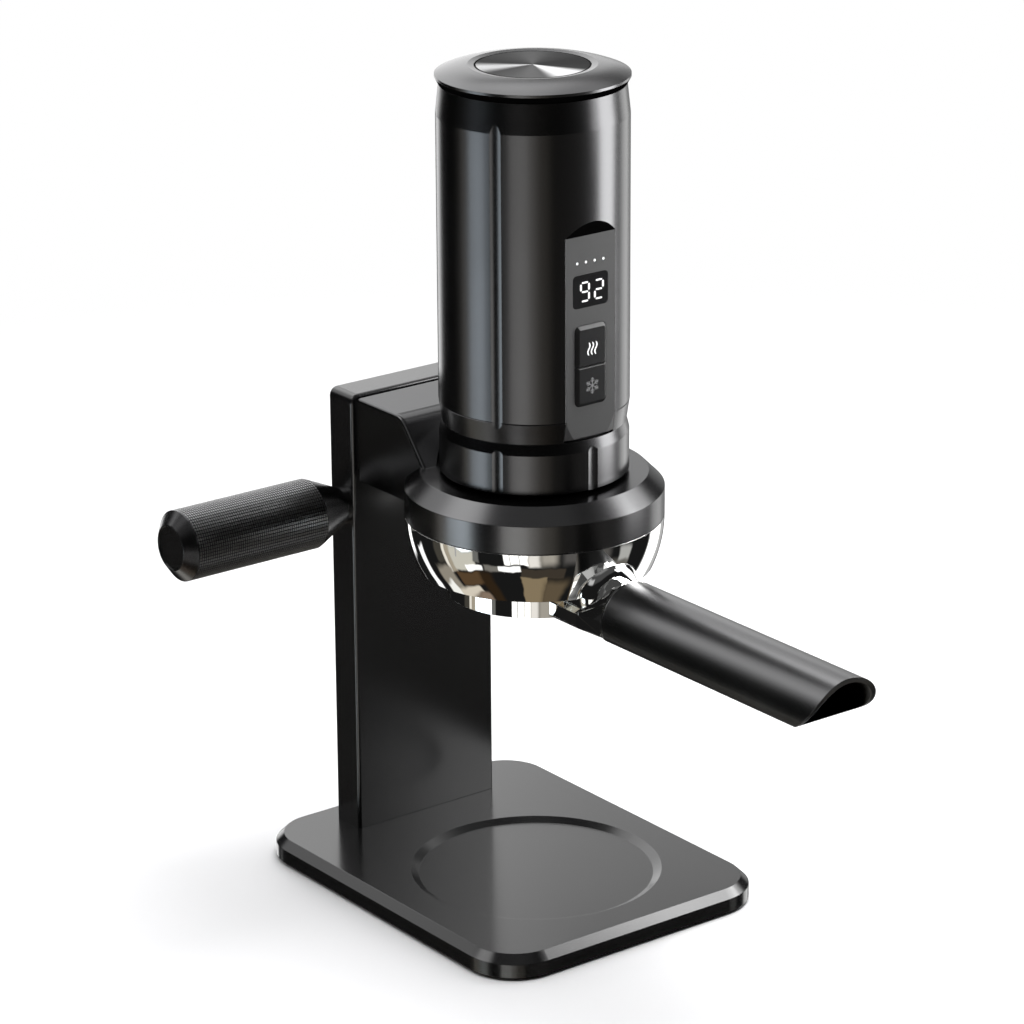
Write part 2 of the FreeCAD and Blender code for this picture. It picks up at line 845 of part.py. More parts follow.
def make_key(upper):
    low, high = key_levels(upper)
    half = key_well_width / 2 - slip_gap / 2
    front = -panel_flat - key_proud
    flange_front = -panel_flat + key_web + slip_gap
    flange_back = flange_front + key_flange
    cap = block(-half, half, front, flange_front, low, high)
    outer = high if upper else low
    split = low if upper else high
    corners = edges_along(cap, y_axis, lambda middle: near(middle.z, outer))
    cap = cap.makeFillet(key_well_corner - slip_gap / 2, corners)
    crown = [edge for edge in cap.Edges if near(edge.BoundBox.YMax, front)]
    split_edge = [edge for edge in crown
                  if near(edge.BoundBox.ZMin, split) and near(edge.BoundBox.ZMax, split)]
    rest = [edge for edge in crown if not edge.isSame(split_edge[0])]
    cap = cap.makeChamfer(key_bevel, rest)
    if not upper:
        lip = [edge for edge in cap.Edges
               if near(edge.BoundBox.YMin, front) and near(edge.BoundBox.YMax, front)
               and near(edge.BoundBox.ZMin, split) and near(edge.BoundBox.ZMax, split)]
        cap = cap.makeChamfer(key_split_bevel, lip)
    flange_low = low if upper else low - key_flange
    flange_high = high + key_flange if upper else high
    flange = block(-half - key_flange, half + key_flange, flange_front, flange_back, flange_low, flange_high)
    outer_flange = flange_high if upper else flange_low
    flange_corners = edges_along(flange, y_axis, lambda middle: near(middle.z, outer_flange))
    flange = flange.makeFillet(key_well_corner, flange_corners)
    stem_end = board_front - switch_height - key_travel - 0.05
    stem = rod_y(1.6, flange_back - 0.2, stem_end, 0, (low + high) / 2)
    return joined([cap, flange, stem])


def make_button_switches():
    switches = []
    for upper in (True, False):
        low, high = key_levels(upper)
        middle = (low + high) / 2
        half = switch_size / 2
        switches.append(block(-half, half, board_front - switch_height, board_front,
                              middle - half, middle + half))
    return Part.makeCompound(switches)


# Brewer inside

head_top = body_bottom + 1.0 + head_flange_thickness
skirt_radius = adapter_bore - twist_gap
nozzle_tip = socket_bottom + 1.2
cell_low = head_top
cell_high = cell_low + cell_length
tray_low = cell_high - 1.0
tray_high = tray_low + tray_thickness
tank_low = tray_high + heater_space
tank_high = tank_low + tank_height
motor_low = head_top + pump_height
motor_high = motor_low + motor_length
tube_outlet_level = head_top + pump_height - 9.0


def cell_places():
    return around(cell_circle, cell_angles)


def post_places():
    return around(post_circle, post_angles)


def make_brew_head():
    flange = cylinder(inner_radius, body_bottom + 1.0, head_top)
    notch = block(-panel_half - 1, panel_half + 1, -body_radius, panel_flange_back + 0.6,
                  body_bottom, head_top + over)
    flange = flange.cut(notch)
    skirt = ring(skirt_radius, skirt_radius - head_skirt_wall, body_bottom + 1.0 - head_skirt_length,
                 body_bottom + 1.0)
    neck = cylinder(skirt_radius, body_bottom + slip_gap, body_bottom + 1.0)
    nozzle = cylinder(nozzle_radius, nozzle_tip, body_bottom + 1.0 + over)
    head = joined([flange, skirt, neck, nozzle])
    return head.cut(cylinder(nozzle_bore, nozzle_tip - over, head_top + over))


def make_nozzle_seal():
    low = nozzle_tip + 0.6
    return ring(nozzle_radius + 2 * slip_gap - 0.05, nozzle_radius, low, low + 1.2)


def make_battery_cells():
    return Part.makeCompound([cylinder(cell_radius, cell_low, cell_high, x, y) for x, y in cell_places()])


def make_chassis_posts():
    return Part.makeCompound([cylinder(post_radius, head_top, tray_low, x, y) for x, y in post_places()])


def make_chassis_tray():
    tray = cylinder(inner_radius, tray_low, tray_high)
    tray = tray.fuse(ring(inner_radius, inner_radius - tray_wall, tray_high, tank_low))
    notch = block(-panel_half - panel_flange - 1, panel_half + panel_flange + 1, -body_radius,
                  board_back + 0.8, tray_low - over, panel_top + 1)
    tray = tray.cut(notch)
    for x, y in cell_places():
        tray = tray.cut(cylinder(cell_radius + slip_gap, tray_low - over, cell_high, x, y))
    return tray.cut(cylinder(tube_radius + slip_gap, tray_low - over, tray_high + over, 0, -tube_axis))


def make_pump_head():
    head = cylinder(pump_radius, head_top, motor_low)
    cavity = cylinder(pump_radius - pump_wall, head_top + 2 * pump_wall, motor_low - pump_wall / 2)
    head = head.cut(cavity)
    head = head.cut(cylinder(nozzle_bore, head_top - over, head_top + 2 * pump_wall + over))
    head = head.cut(cylinder(shaft_radius + running_fit, motor_low - pump_wall, motor_low + over))
    inlet = rod_y(tube_bore, -pump_radius - over, -pump_radius + 2 * pump_wall, 0, tube_outlet_level)
    return head.cut(inlet)


def make_motor_can():
    can = cylinder(motor_radius, motor_low, motor_high)
    can = can.cut(cylinder(motor_radius - motor_wall, motor_low + motor_wall, motor_high - motor_wall))
    return can.cut(cylinder(shaft_radius + running_fit, motor_low - over, motor_high + over))


cam_low = head_top + 2 * pump_wall + 3.0
cam_high = cam_low + cam_thickness


def make_motor_shaft():
    return cylinder(shaft_radius, cam_low - 1.5, motor_high + 2.0)


def make_motor_armature():
    radius = motor_radius - motor_wall - 0.8
    return ring(radius, shaft_radius, motor_low + 4.0, motor_high - 4.0)


def make_pump_cam():
    disc = cylinder(cam_radius, cam_low, cam_high, cam_offset, 0)
    return disc.cut(cylinder(shaft_radius, cam_low - over, cam_high + over))


def make_heater_plate():
    plate = cylinder(tank_radius - heater_inset, tank_low - heater_thickness, tank_low)
    return plate.cut(cylinder(tube_radius + slip_gap, tank_low - heater_thickness - over, tank_low + over,
                              0, -tube_axis))


def make_water_tank():
    inner = tank_radius - tank_wall
    tank = turned([(0, tank_low), (tank_radius, tank_low), (tank_radius, tank_high - tank_flange),
                   (inner_radius, tank_high - tank_flange), (inner_radius, tank_high), (inner, tank_high),
                   (inner, tank_low + tank_wall), (0, tank_low + tank_wall)])
    return tank.cut(cylinder(tube_bore, tank_low - over, tank_low + tank_wall + over, 0, -tube_axis))


def make_inlet_tube():
    """Suction hose: straight down from the tank, one bend, then into the pump's side."""
    turn_level = tube_outlet_level + tube_bend
    start = vec(0, -tube_axis, tank_low)
    corner = vec(0, -tube_axis, turn_level)
    end = vec(0, -tube_axis + tube_bend, tube_outlet_level)
    slant = tube_bend * (1 - math.sqrt(0.5))
    middle = vec(0, -tube_axis + slant, tube_outlet_level + slant)
    path = Part.Wire([Part.makeLine(start, corner), Part.Arc(corner, middle, end).toShape(),
                      Part.makeLine(end, vec(0, -pump_radius, tube_outlet_level))])
    outer = Part.Wire([Part.Circle(start, z_axis, tube_radius).toShape()])
    inner = Part.Wire([Part.Circle(start, z_axis, tube_bore).toShape()])
    hose = path.makePipeShell([outer], True, True)
    return hose.cut(path.makePipeShell([inner], True, True))


def make_mouth_ring():
    return ring(inner_radius, lid_plug_radius + slip_gap, tank_high, lid_bottom - lid_seal_thickness)


def make_lid_seal():
    return ring(inner_radius - 0.4, lid_plug_radius + slip_gap, lid_bottom - lid_seal_thickness, lid_bottom)


# Lid


def make_lid_cap():
    rim_low = lid_bottom + lid_under_bevel
    rim_high = rim_low + lid_rim
    recess = lid_disc_radius + slip_gap
    recess_floor = lid_top - lid_disc_dip - lid_disc_thickness
    crown_mid = (lid_radius + lid_crown_radius) / 2
    crown_mid_level = (rim_high + lid_top) / 2 + 0.45
    plug_low = lid_bottom - lid_plug_length
    plug_inner = lid_plug_radius - lid_plug_wall
    ceiling = recess_floor - lid_plug_wall
    return turned([(0, recess_floor), (0, ceiling), (plug_inner, ceiling), (plug_inner, plug_low),
                   (lid_plug_radius, plug_low), (lid_plug_radius, lid_bottom),
                   (body_neck_radius + 0.15, lid_bottom), (lid_radius, rim_low), (lid_radius, rim_high),
                   (lid_crown_radius, lid_top, crown_mid, crown_mid_level),
                   (recess, lid_top - lid_disc_dip), (recess, recess_floor)])


def make_lid_disc():
    top = lid_top - lid_disc_dip
    return cylinder(lid_disc_radius, top - lid_disc_thickness, top)


# Portafilter

bowl_top = collar_bottom - slip_gap
bowl_bottom = collar_bottom - bowl_depth
outlet_bottom = bowl_bottom - outlet_height
rim_top = collar_bottom + rim_rise
lug_low = lock_ring_top + slip_gap
handle_floor = outlet_bottom - handle_step
handle_axis_level = handle_floor + handle_drop


def bowl_arc(radius, level, low):
    """Outline steps of a ball of the given radius centred on the collar's lower edge."""
    def reach(z):
        return math.sqrt(radius ** 2 - (collar_bottom - z) ** 2)
    return [(reach(low), low), (reach(level), level, reach((low + level) / 2), (low + level) / 2)]


def bowl_casting():
    lower, upper = bowl_arc(collar_radius, bowl_top, bowl_bottom)
    gutter = bowl_bottom + bowl_floor
    inner_low, inner_high = bowl_arc(collar_radius - bowl_wall, bowl_top, gutter)
    shape = turned([(0, outlet_bottom), (outlet_radius, outlet_bottom), (outlet_radius, bowl_bottom),
                    lower, upper, (inner_high[0], bowl_top),
                    (inner_low[0], gutter, inner_high[2], inner_high[3]),
                    (tube_outer_radius, gutter), (tube_outer_radius, rim_top), (0, rim_top)])
    for side in (0, 180):
        lug = sector(lug_radius, tube_outer_radius - 1.0, lug_low, lug_low + lug_height, side, lug_angle)
        shape = shape.fuse(lug)
    return shape


def handle_plane(offset, level):
    """Y of the handle's leaning front face, offset towards the bowl, at a level."""
    return -handle_start + offset + handle_face_tilt * (level - handle_floor)


def neck_rings():
    """Left halves of the neck's outlines, (x, z): near the bowl, and at the handle's end face."""
    half = handle_radius - 0.1
    near_bowl = [(-half + neck_corner, outlet_bottom), (-half, outlet_bottom + neck_corner),
                 (-half, outlet_bottom + neck_side_height), (-neck_top_half, outlet_bottom + neck_top_height)]
    low_corner = (-handle_radius + handle_corner, handle_floor)
    at_handle = [low_corner, (-handle_radius, handle_axis_level)]
    for angle in (162, 138, 112):
        turn = math.radians(angle)
        at_handle.append((handle_radius * math.cos(turn), handle_axis_level + handle_radius * math.sin(turn)))
    crown = (0.0, handle_axis_level + handle_radius)
    return near_bowl, at_handle, crown


def facet(points):
    return Part.Face(Part.makePolygon(points + points[:1]))


def neck_loft():
    """Faceted neck from the bowl to the handle, built from flat triangles."""
    near_bowl, at_handle, crown = neck_rings()
    faces = []
    rings = []
    for side in (1, -1):
        b = [vec(side * x, -neck_front, z) for x, z in near_bowl]
        h = [vec(side * x, handle_plane(trim_thickness, z), z) for x, z in at_handle]
        top = vec(0, handle_plane(trim_thickness, crown[1]), crown[1])
        corners = [(b[0], b[1], h[0]), (b[1], h[1], h[0]), (b[1], b[2], h[1]), (b[2], h[2], h[1]),
                   (b[2], h[3], h[2]), (b[2], b[3], h[3]), (b[3], h[4], h[3]), (b[3], top, h[4])]
        faces += [facet(list(corner)) for corner in corners]
        rings.append((b, h))
    (left_b, left_h), (right_b, right_h) = rings
    faces.append(facet([left_b[3], right_b[3], top]))
    faces.append(facet([left_b[0], left_h[0], right_h[0], right_b[0]]))
    faces.append(facet(left_b + right_b[::-1]))
    faces.append(facet(left_h + [top] + right_h[::-1]))
    return Part.Solid(Part.Shell(faces))


def neck_root():
    """The neck's straight part under the bowl, back to the outlet ring."""
    near_bowl, _, _ = neck_rings()
    half = [vec(x, -neck_front, z) for x, z in near_bowl]
    other = [vec(-x, -neck_front, z) for x, z in near_bowl]
    return facet(half + other[::-1]).extrude(vec(0, neck_front - root_depth, 0))


def neck_boss():
    """Round boss over the neck's root, its front edge rounded off and its underside flat."""
    level = outlet_bottom + neck_boss_rise
    boss = rod_y(neck_boss_radius, -neck_boss_reach, -root_depth, 0, level)
    front = [edge for edge in boss.Edges if near(edge.CenterOfMass.y, -neck_boss_reach)]
    boss = boss.makeFillet(neck_boss_edge, front)
    return boss.common(block(-neck_boss_radius - over, neck_boss_radius + over, -neck_boss_reach - over, 0,
                             outlet_bottom, level + neck_boss_radius + over))


def make_portafilter_bowl():
    shape = bowl_casting()
    shape = shape.fuse(neck_boss())
    shape = shape.fuse(neck_root())
    shape = shape.fuse(neck_loft())
    shape = shape.cut(cylinder(tube_inner_radius, outlet_bottom - over, rim_top + over))
    groove = turned([(tube_inner_radius - 0.5, spring_level - 0.8), (spring_centre + spring_wire + 0.1,
                     spring_level - 0.8), (spring_centre + spring_wire + 0.1, spring_level + 0.8),
                     (tube_inner_radius - 0.5, spring_level + 0.8)])
    shape = shape.cut(groove)
    stud_hole = rod_y(stud_radius + thread_fit, -handle_start - over, stud_back + slip_gap, 0, stud_level)
    return shape.cut(stud_hole)


spring_level = rim_top - spring_drop
spring_centre = tube_inner_radius + 0.15
stud_level = handle_floor + handle_stud_height
root_depth = tube_inner_radius * neck_root_share
stud_back = -handle_start + handle_stud_length / 2 + 0.5


def make_basket_spring():
    circle = Part.Wire([Part.Circle(vec(spring_centre, 0, spring_level), y_axis, spring_wire).toShape()])
    hoop = Part.Face(circle).revolve(vec(0, 0, 0), z_axis, 335)
    return hoop


def make_filter_basket():
    lip_top = rim_top + basket_lip_thickness
    inner = basket_radius - basket_wall
    floor = rim_top - basket_depth
    bend = 3.0
    slant = bend * (1 - math.sqrt(0.5))
    inner_bend = bend - basket_wall
    inner_slant = inner_bend * (1 - math.sqrt(0.5))
    deep = floor + basket_wall
    basket = turned([(0, floor), (basket_radius - bend, floor),
                     (basket_radius, floor + bend, basket_radius - slant, floor + slant),
                     (basket_radius, rim_top), (basket_lip_radius, rim_top), (basket_lip_radius, lip_top),
                     (inner, lip_top), (inner, deep + inner_bend),
                     (inner - inner_bend, deep, inner - inner_slant, deep + inner_slant), (0, deep)])
    return basket.cut(hole_pattern(basket_hole_pitch, inner - bend - 1.5, basket_hole_radius,
                                   floor - over, deep + over, True))


def handle_bar(inset, front, back):
    """D section bar along Y, inset from the handle's outer form."""
    radius = handle_radius - inset
    bar = rod_y(radius, front, back, 0, handle_axis_level)
    bar = bar.common(block(-radius - over, radius + over, front - over, back + over,
                           handle_floor + inset, handle_axis_level + radius + over))
    corner = max(handle_corner - inset, 0.6)
    keel = edges_along(bar, y_axis, lambda middle: near(middle.z, handle_floor + inset))
    return bar.makeFillet(corner, keel)


def leaning_slab(front_offset, back_offset):
    low = handle_floor - 10
    high = handle_axis_level + handle_radius + 10
    steps = [(handle_plane(front_offset, low), low), (handle_plane(front_offset, high), high),
             (handle_plane(back_offset, high), high), (handle_plane(back_offset, low), low)]
    return side_prism(steps, handle_radius + over)


def make_handle_trim():
    bar = handle_bar(0, -handle_start - 10, -handle_start + 20)
    plate = bar.common(leaning_slab(0, trim_thickness))
    return plate.cut(rod_y(stud_radius + thread_fit, -handle_start - 10, -handle_start + 20, 0, stud_level))


def make_handle_shell():
    top = handle_axis_level + handle_radius
    nose_y = -handle_tip + handle_nose_radius
    bar = handle_bar(0, -handle_tip - over, -handle_start + 20)
    bar = bar.cut(leaning_slab(0, 60))
    hollow = handle_bar(handle_wall, -handle_tip - 2 * over, -handle_start - handle_block)
    bar = bar.cut(hollow)
    keep = rod_x(handle_nose_radius, -handle_radius - over, handle_radius + over, nose_y, top)
    keep = keep.fuse(block(-handle_radius - over, handle_radius + over, nose_y, -handle_start + 20,
                           handle_floor - over, top + over))
    bar = bar.common(keep)
    hole = rod_y(stud_radius + thread_fit, -handle_start - handle_stud_length / 2 - slip_gap,
                 -handle_start + 20, 0, stud_level)
    return bar.cut(hole)


def make_handle_stud():
    return rod_y(stud_radius, stud_back - handle_stud_length, stud_back, 0, stud_level)


parts = {
    "base_plate": make_base_plate,
    "base_weight": make_base_weight,
    "weight_screws": make_weight_screws,
    "base_pad": make_base_pad,
    "column": make_column,
    "column_screws": make_column_screws,
    "arm": make_arm,
    "arm_screws": make_arm_screws,
    "lock_ring": make_lock_ring,
    "lock_ring_screws": make_lock_ring_screws,
    "group_gasket": make_group_gasket,
    "grip_stud": make_grip_stud,
    "grip_neck": make_grip_neck,
    "grip_sleeve": make_grip_sleeve,
    "grip_end_cap": make_grip_end_cap,
    "adapter_ring": make_adapter_ring,
    "shower_screen": make_shower_screen,
    "screen_screw": make_screen_screw,
    "body_shell": make_body_shell,
    "control_panel": make_control_panel,
    "display_window": make_display_window,
    "display_module": make_display_module,
    "indicator_lights": make_indicator_lights,
    "control_board": make_control_board,
    "button_switches": make_button_switches,
    "charge_port": make_charge_port,
    "brew_head": make_brew_head,
    "nozzle_seal": make_nozzle_seal,
    "battery_cells": make_battery_cells,
    "chassis_posts": make_chassis_posts,
    "chassis_tray": make_chassis_tray,
    "pump_head": make_pump_head,
    "motor_can": make_motor_can,
    "motor_shaft": make_motor_shaft,
    "motor_armature": make_motor_armature,
    "pump_cam": make_pump_cam,
    "inlet_tube": make_inlet_tube,
    "heater_plate": make_heater_plate,
    "water_tank": make_water_tank,
    "mouth_ring": make_mouth_ring,
    "lid_seal": make_lid_seal,
    "lid_cap": make_lid_cap,
    "lid_disc": make_lid_disc,
    "heat_button": lambda: make_key(True),
    "cold_button": lambda: make_key(False),
    "portafilter_bowl": make_portafilter_bowl,
    "filter_basket": make_filter_basket,
    "basket_spring": make_basket_spring,
    "handle_trim": make_handle_trim,
    "handle_shell": make_handle_shell,
    "handle_stud": make_handle_stud,
}

os.makedirs("parts", exist_ok=True)
for name, make in parts.items():
    save(name, make())
print("solids written:", len(parts))
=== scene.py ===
import json
import math
import bmesh
import bpy
from mathutils import Matrix, Vector


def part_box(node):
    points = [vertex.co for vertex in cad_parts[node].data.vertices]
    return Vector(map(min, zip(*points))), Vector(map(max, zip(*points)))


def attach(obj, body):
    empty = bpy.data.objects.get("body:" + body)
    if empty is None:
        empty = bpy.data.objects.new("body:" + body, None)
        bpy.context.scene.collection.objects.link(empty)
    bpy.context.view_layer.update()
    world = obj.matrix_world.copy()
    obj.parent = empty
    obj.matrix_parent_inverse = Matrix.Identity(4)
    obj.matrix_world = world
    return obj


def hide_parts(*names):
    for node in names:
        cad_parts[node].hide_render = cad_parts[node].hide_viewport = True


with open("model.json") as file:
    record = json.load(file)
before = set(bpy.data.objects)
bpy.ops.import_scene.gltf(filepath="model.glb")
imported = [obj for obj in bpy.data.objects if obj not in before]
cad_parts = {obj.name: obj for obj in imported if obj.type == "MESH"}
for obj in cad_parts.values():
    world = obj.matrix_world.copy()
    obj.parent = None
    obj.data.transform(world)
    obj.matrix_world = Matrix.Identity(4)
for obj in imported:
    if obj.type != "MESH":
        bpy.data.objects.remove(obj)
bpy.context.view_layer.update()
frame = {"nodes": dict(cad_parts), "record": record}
record = frame["record"]
nodes = frame["nodes"]
mm = 0.001
degrees = 180.0 / math.pi


# Shader maths: a socket that takes part in plain expressions
class Wire:
    def __init__(self, tree, socket):
        self.tree = tree
        self.socket = socket

    def math(self, operation, other=None):
        values = {"0": self} if other is None else {"0": self, "1": other}
        return addNode(self.tree, "ShaderNodeMath", {"operation": operation}, **values)

    def __add__(self, other):
        return self.math("ADD", other)

    def __mul__(self, other):
        return self.math("MULTIPLY", other)

    def __sub__(self, other):
        return self.math("SUBTRACT", other)

    def __truediv__(self, other):
        return self.math("DIVIDE", other)

    def __rsub__(self, other):
        return (self * -1.0) + other

    __radd__ = __add__
    __rmul__ = __mul__

    # 0 below low, 1 above high, with a soft step between
    def ramp(self, low, high):
        return addNode(self.tree, "ShaderNodeMapRange", {"interpolation_type": "SMOOTHSTEP"},
                       **{"Value": self, "From Min": low, "From Max": high})

    # 1 between low and high, with soft edges of the given width
    def band(self, low, high, edge):
        half = edge / 2
        return self.ramp(low - half, low + half) * (1.0 - self.ramp(high - half, high + half))


def addNode(tree, kind, settings=None, output=0, **inputs):
    made = tree.nodes.new(kind)
    for name, value in (settings or {}).items():
        setattr(made, name, value)
    for name, value in inputs.items():
        socket = made.inputs[int(name)] if name.isdigit() else made.inputs[name]
        if isinstance(value, Wire):
            tree.links.new(value.socket, socket)
        else:
            socket.default_value = value
    return Wire(tree, made.outputs[output])


# A Mix node in colour mode has its share in socket 0, its colours in 6 and 7, and the mix in output 2
def mixColour(tree, share, first, second):
    mixed = tree.nodes.new("ShaderNodeMix")
    mixed.data_type = "RGBA"
    for slot, value in ((0, share), (6, first), (7, second)):
        if isinstance(value, Wire):
            tree.links.new(value.socket, mixed.inputs[slot])
        else:
            mixed.inputs[slot].default_value = value if slot == 0 else (*value, 1.0)
    return Wire(tree, mixed.outputs[2])


def splitPlace(tree, place):
    return tuple(addNode(tree, "ShaderNodeSeparateXYZ", output=axis, Vector=place) for axis in range(3))


# Camera at the photograph's viewpoint
cameraSpot = {"x": -0.918042, "y": -1.195302, "z": 0.688776, "yaw": 37.20, "pitch": 19.446, "roll": -0.3475,
              "lens": 148.05, "sensor": 36.0}
cameraYaw = math.radians(cameraSpot["yaw"])
towardViewer = Vector((-math.sin(cameraYaw), -math.cos(cameraYaw), 0.0))
viewerRight = Vector((math.cos(cameraYaw), -math.sin(cameraYaw), 0.0))


def addCamera(spot):
    data = bpy.data.cameras.new("camera")
    camera = bpy.data.objects.new("camera", data)
    bpy.context.scene.collection.objects.link(camera)
    data.lens = spot["lens"]
    data.sensor_width = spot["sensor"]
    data.clip_start = 0.05
    data.clip_end = 20.0
    yaw, pitch, roll = (math.radians(spot[name]) for name in ("yaw", "pitch", "roll"))
    ahead = Vector((math.sin(yaw) * math.cos(pitch), math.cos(yaw) * math.cos(pitch), -math.sin(pitch)))
    level = Vector((math.cos(yaw), -math.sin(yaw), 0.0))
    upward = level.cross(ahead)
    across = level * math.cos(roll) + upward * math.sin(roll)
    above = upward * math.cos(roll) - level * math.sin(roll)
    turn = Matrix((across, above, -ahead)).transposed()
    camera.matrix_world = Matrix.Translation((spot["x"], spot["y"], spot["z"])) @ turn.to_4x4()
    bpy.context.scene.camera = camera


addCamera(cameraSpot)
bpy.context.scene.view_settings.view_transform = "Standard"
print("camera set")

# Studio room, seen only in reflections. Each patch is a box in bearing (0 towards the viewer, positive to the
# right) and elevation, in degrees. A later patch covers an earlier one.
roomDark = (0.010, 0.010, 0.010)
roomWobble = {"scale": 4.0, "degrees": 7.0}  # uneven outlines, as in a real room
roomPatches = [
    {"bearing": (-90, 90), "elevation": (52, 92), "edge": 14, "colour": (0.22, 0.22, 0.22)},  # ceiling
    {"bearing": (-190, 190), "elevation": (30, 92), "edge": 10, "colour": (0.07, 0.07, 0.07)},
    {"bearing": (-88, 64), "elevation": (60, 92), "edge": 12, "colour": (0.22, 0.22, 0.22)},
    {"bearing": (-60, -20), "elevation": (30, 46), "edge": 9, "colour": (0.55, 0.55, 0.55)},  # high window
    {"bearing": (26, 72), "elevation": (-30, -12), "edge": 8, "colour": (0.10, 0.095, 0.09)},
    {"bearing": (-190, -100), "elevation": (-92, -52), "edge": 9, "colour": (1.20, 1.16, 1.08)},  # lit floor
    {"bearing": (-190, -145), "elevation": (24, 92), "edge": 8, "colour": (0.20, 0.20, 0.20)},
    {"bearing": (145, 190), "elevation": (24, 92), "edge": 8, "colour": (0.20, 0.20, 0.20)},
    {"bearing": (140, 172), "elevation": (35, 66), "edge": 8, "colour": (1.20, 1.20, 1.20)},  # lit wall top
    {"bearing": (170, 190), "elevation": (37, 68), "edge": 7, "colour": (2.10, 2.10, 2.10)},
    {"bearing": (-190, -160), "elevation": (37, 68), "edge": 7, "colour": (2.40, 2.40, 2.40)},
    {"bearing": (150, 190), "elevation": (-12, 22), "edge": 6, "colour": (0.50, 0.50, 0.50)},  # backdrop
    {"bearing": (171, 190), "elevation": (0, 25), "edge": 5, "colour": (1.40, 1.40, 1.40)},
    {"bearing": (148, 166), "elevation": (-44, -12), "edge": 5, "colour": (0.50, 0.50, 0.50)},
    {"bearing": (-190, -150), "elevation": (-12, 30), "edge": 5, "colour": (1.70, 1.70, 1.70)},
    {"bearing": (-168, -144), "elevation": (-26, -12), "edge": 4, "colour": (1.90, 1.90, 1.90)},
    {"bearing": (-166, -130), "elevation": (27, 54), "edge": 8, "colour": (2.2, 2.2, 2.2)},  # rear left
    {"bearing": (-132, -106), "elevation": (22, 50), "edge": 9, "colour": (1.15, 1.15, 1.15)},
    {"bearing": (-110, -72), "elevation": (38, 62), "edge": 10, "colour": (2.6, 2.6, 2.6)},  # left screen
    {"bearing": (126, 150), "elevation": (-42, 0), "edge": 6, "colour": (1.95, 1.95, 1.93)},  # rear right
    {"bearing": (101, 132), "elevation": (23, 50), "edge": 7, "colour": (3.0, 3.0, 3.0)},
    {"bearing": (82, 98), "elevation": (-30, -22), "edge": 3, "colour": (0.45, 0.45, 0.43)},  # far wall
    {"bearing": (62, 98), "elevation": (-46, -30), "edge": 4, "colour": (0.16, 0.15, 0.13)},
    {"bearing": (-133, -123), "elevation": (-46, -25), "edge": 2, "colour": (1.2, 1.2, 1.2)},  # thin strip
    {"bearing": (-103, -93), "elevation": (-32, -13), "edge": 4, "colour": (0.06, 0.055, 0.045)},
    {"bearing": (-93, -89), "elevation": (-38, -13), "edge": 2, "colour": (0.9, 0.85, 0.75)},
    {"bearing": (-89, -83), "elevation": (-38, -13), "edge": 2, "colour": (0.40, 0.35, 0.27)},
    {"bearing": (-83, -59), "elevation": (-23, -12), "edge": 2.5, "colour": (2.9, 3.25, 3.5)},  # left window
    {"bearing": (-84, -57), "elevation": (-36, -23), "edge": 2.5, "colour": (0.62, 0.60, 0.52)},
    {"bearing": (-77.6, -76.2), "elevation": (-27, -13), "edge": 0.6, "colour": (0.4, 0.4, 0.4)},
    {"bearing": (-59, -53), "elevation": (-30, -13), "edge": 2, "colour": (0.16, 0.16, 0.15)},
    {"bearing": (-70, -52), "elevation": (-37, -32), "edge": 1.5, "colour": (1.3, 1.3, 1.28)},  # lit sill
    {"bearing": (-50, -33), "elevation": (-37, -31), "edge": 2.5, "colour": (0.20, 0.19, 0.17)},
    {"bearing": (-29, -6), "elevation": (-29.5, -12), "edge": 1.6, "colour": (1.80, 1.78, 1.72)},  # window
    {"bearing": (-22.8, -21.8), "elevation": (-29.5, -13), "edge": 0.5, "colour": (0.5, 0.5, 0.48)},
    {"bearing": (-14, -12.9), "elevation": (-29.5, -13), "edge": 0.5, "colour": (0.4, 0.4, 0.38)},
    {"bearing": (-6, 5), "elevation": (-31, -12), "edge": 4, "colour": (0.90, 0.86, 0.80)},
    {"bearing": (5, 20), "elevation": (-30, -13), "edge": 9, "colour": (0.40, 0.37, 0.32)},
    {"bearing": (-36, -13), "elevation": (-36.5, -31), "edge": 1.5, "colour": (1.3, 1.3, 1.28)},  # table
    {"bearing": (-13, 30), "elevation": (-43, -33.5), "edge": 2, "colour": (0.05, 0.04, 0.03)},
    {"bearing": (-14, 12), "elevation": (-80, -42), "edge": 2, "colour": (0.26, 0.20, 0.12)},  # wooden floor
    {"bearing": (10, 36), "elevation": (-80, -46), "edge": 10, "colour": (0.12, 0.09, 0.055)},
    {"bearing": (-112, -90), "elevation": (-50, -34), "edge": 4, "colour": (0.30, 0.27, 0.22)},
    {"bearing": (-112, -99), "elevation": (-54, -43), "edge": 3, "colour": (1.0, 1.0, 0.95)},
    {"bearing": (-100, -66), "elevation": (-56, -49), "edge": 3, "colour": (0.72, 0.65, 0.54)},
    {"bearing": (-88, -60), "elevation": (-66, -56), "edge": 5, "colour": (0.26, 0.19, 0.14)},
    {"bearing": (-86, -56), "elevation": (-48, -38), "edge": 3, "colour": (0.10, 0.06, 0.03)},
    {"bearing": (-58, -44), "elevation": (-66, -38), "edge": 7, "colour": (0.03, 0.018, 0.009)},
]
paleBackground = (1.0, 1.0, 1.0)


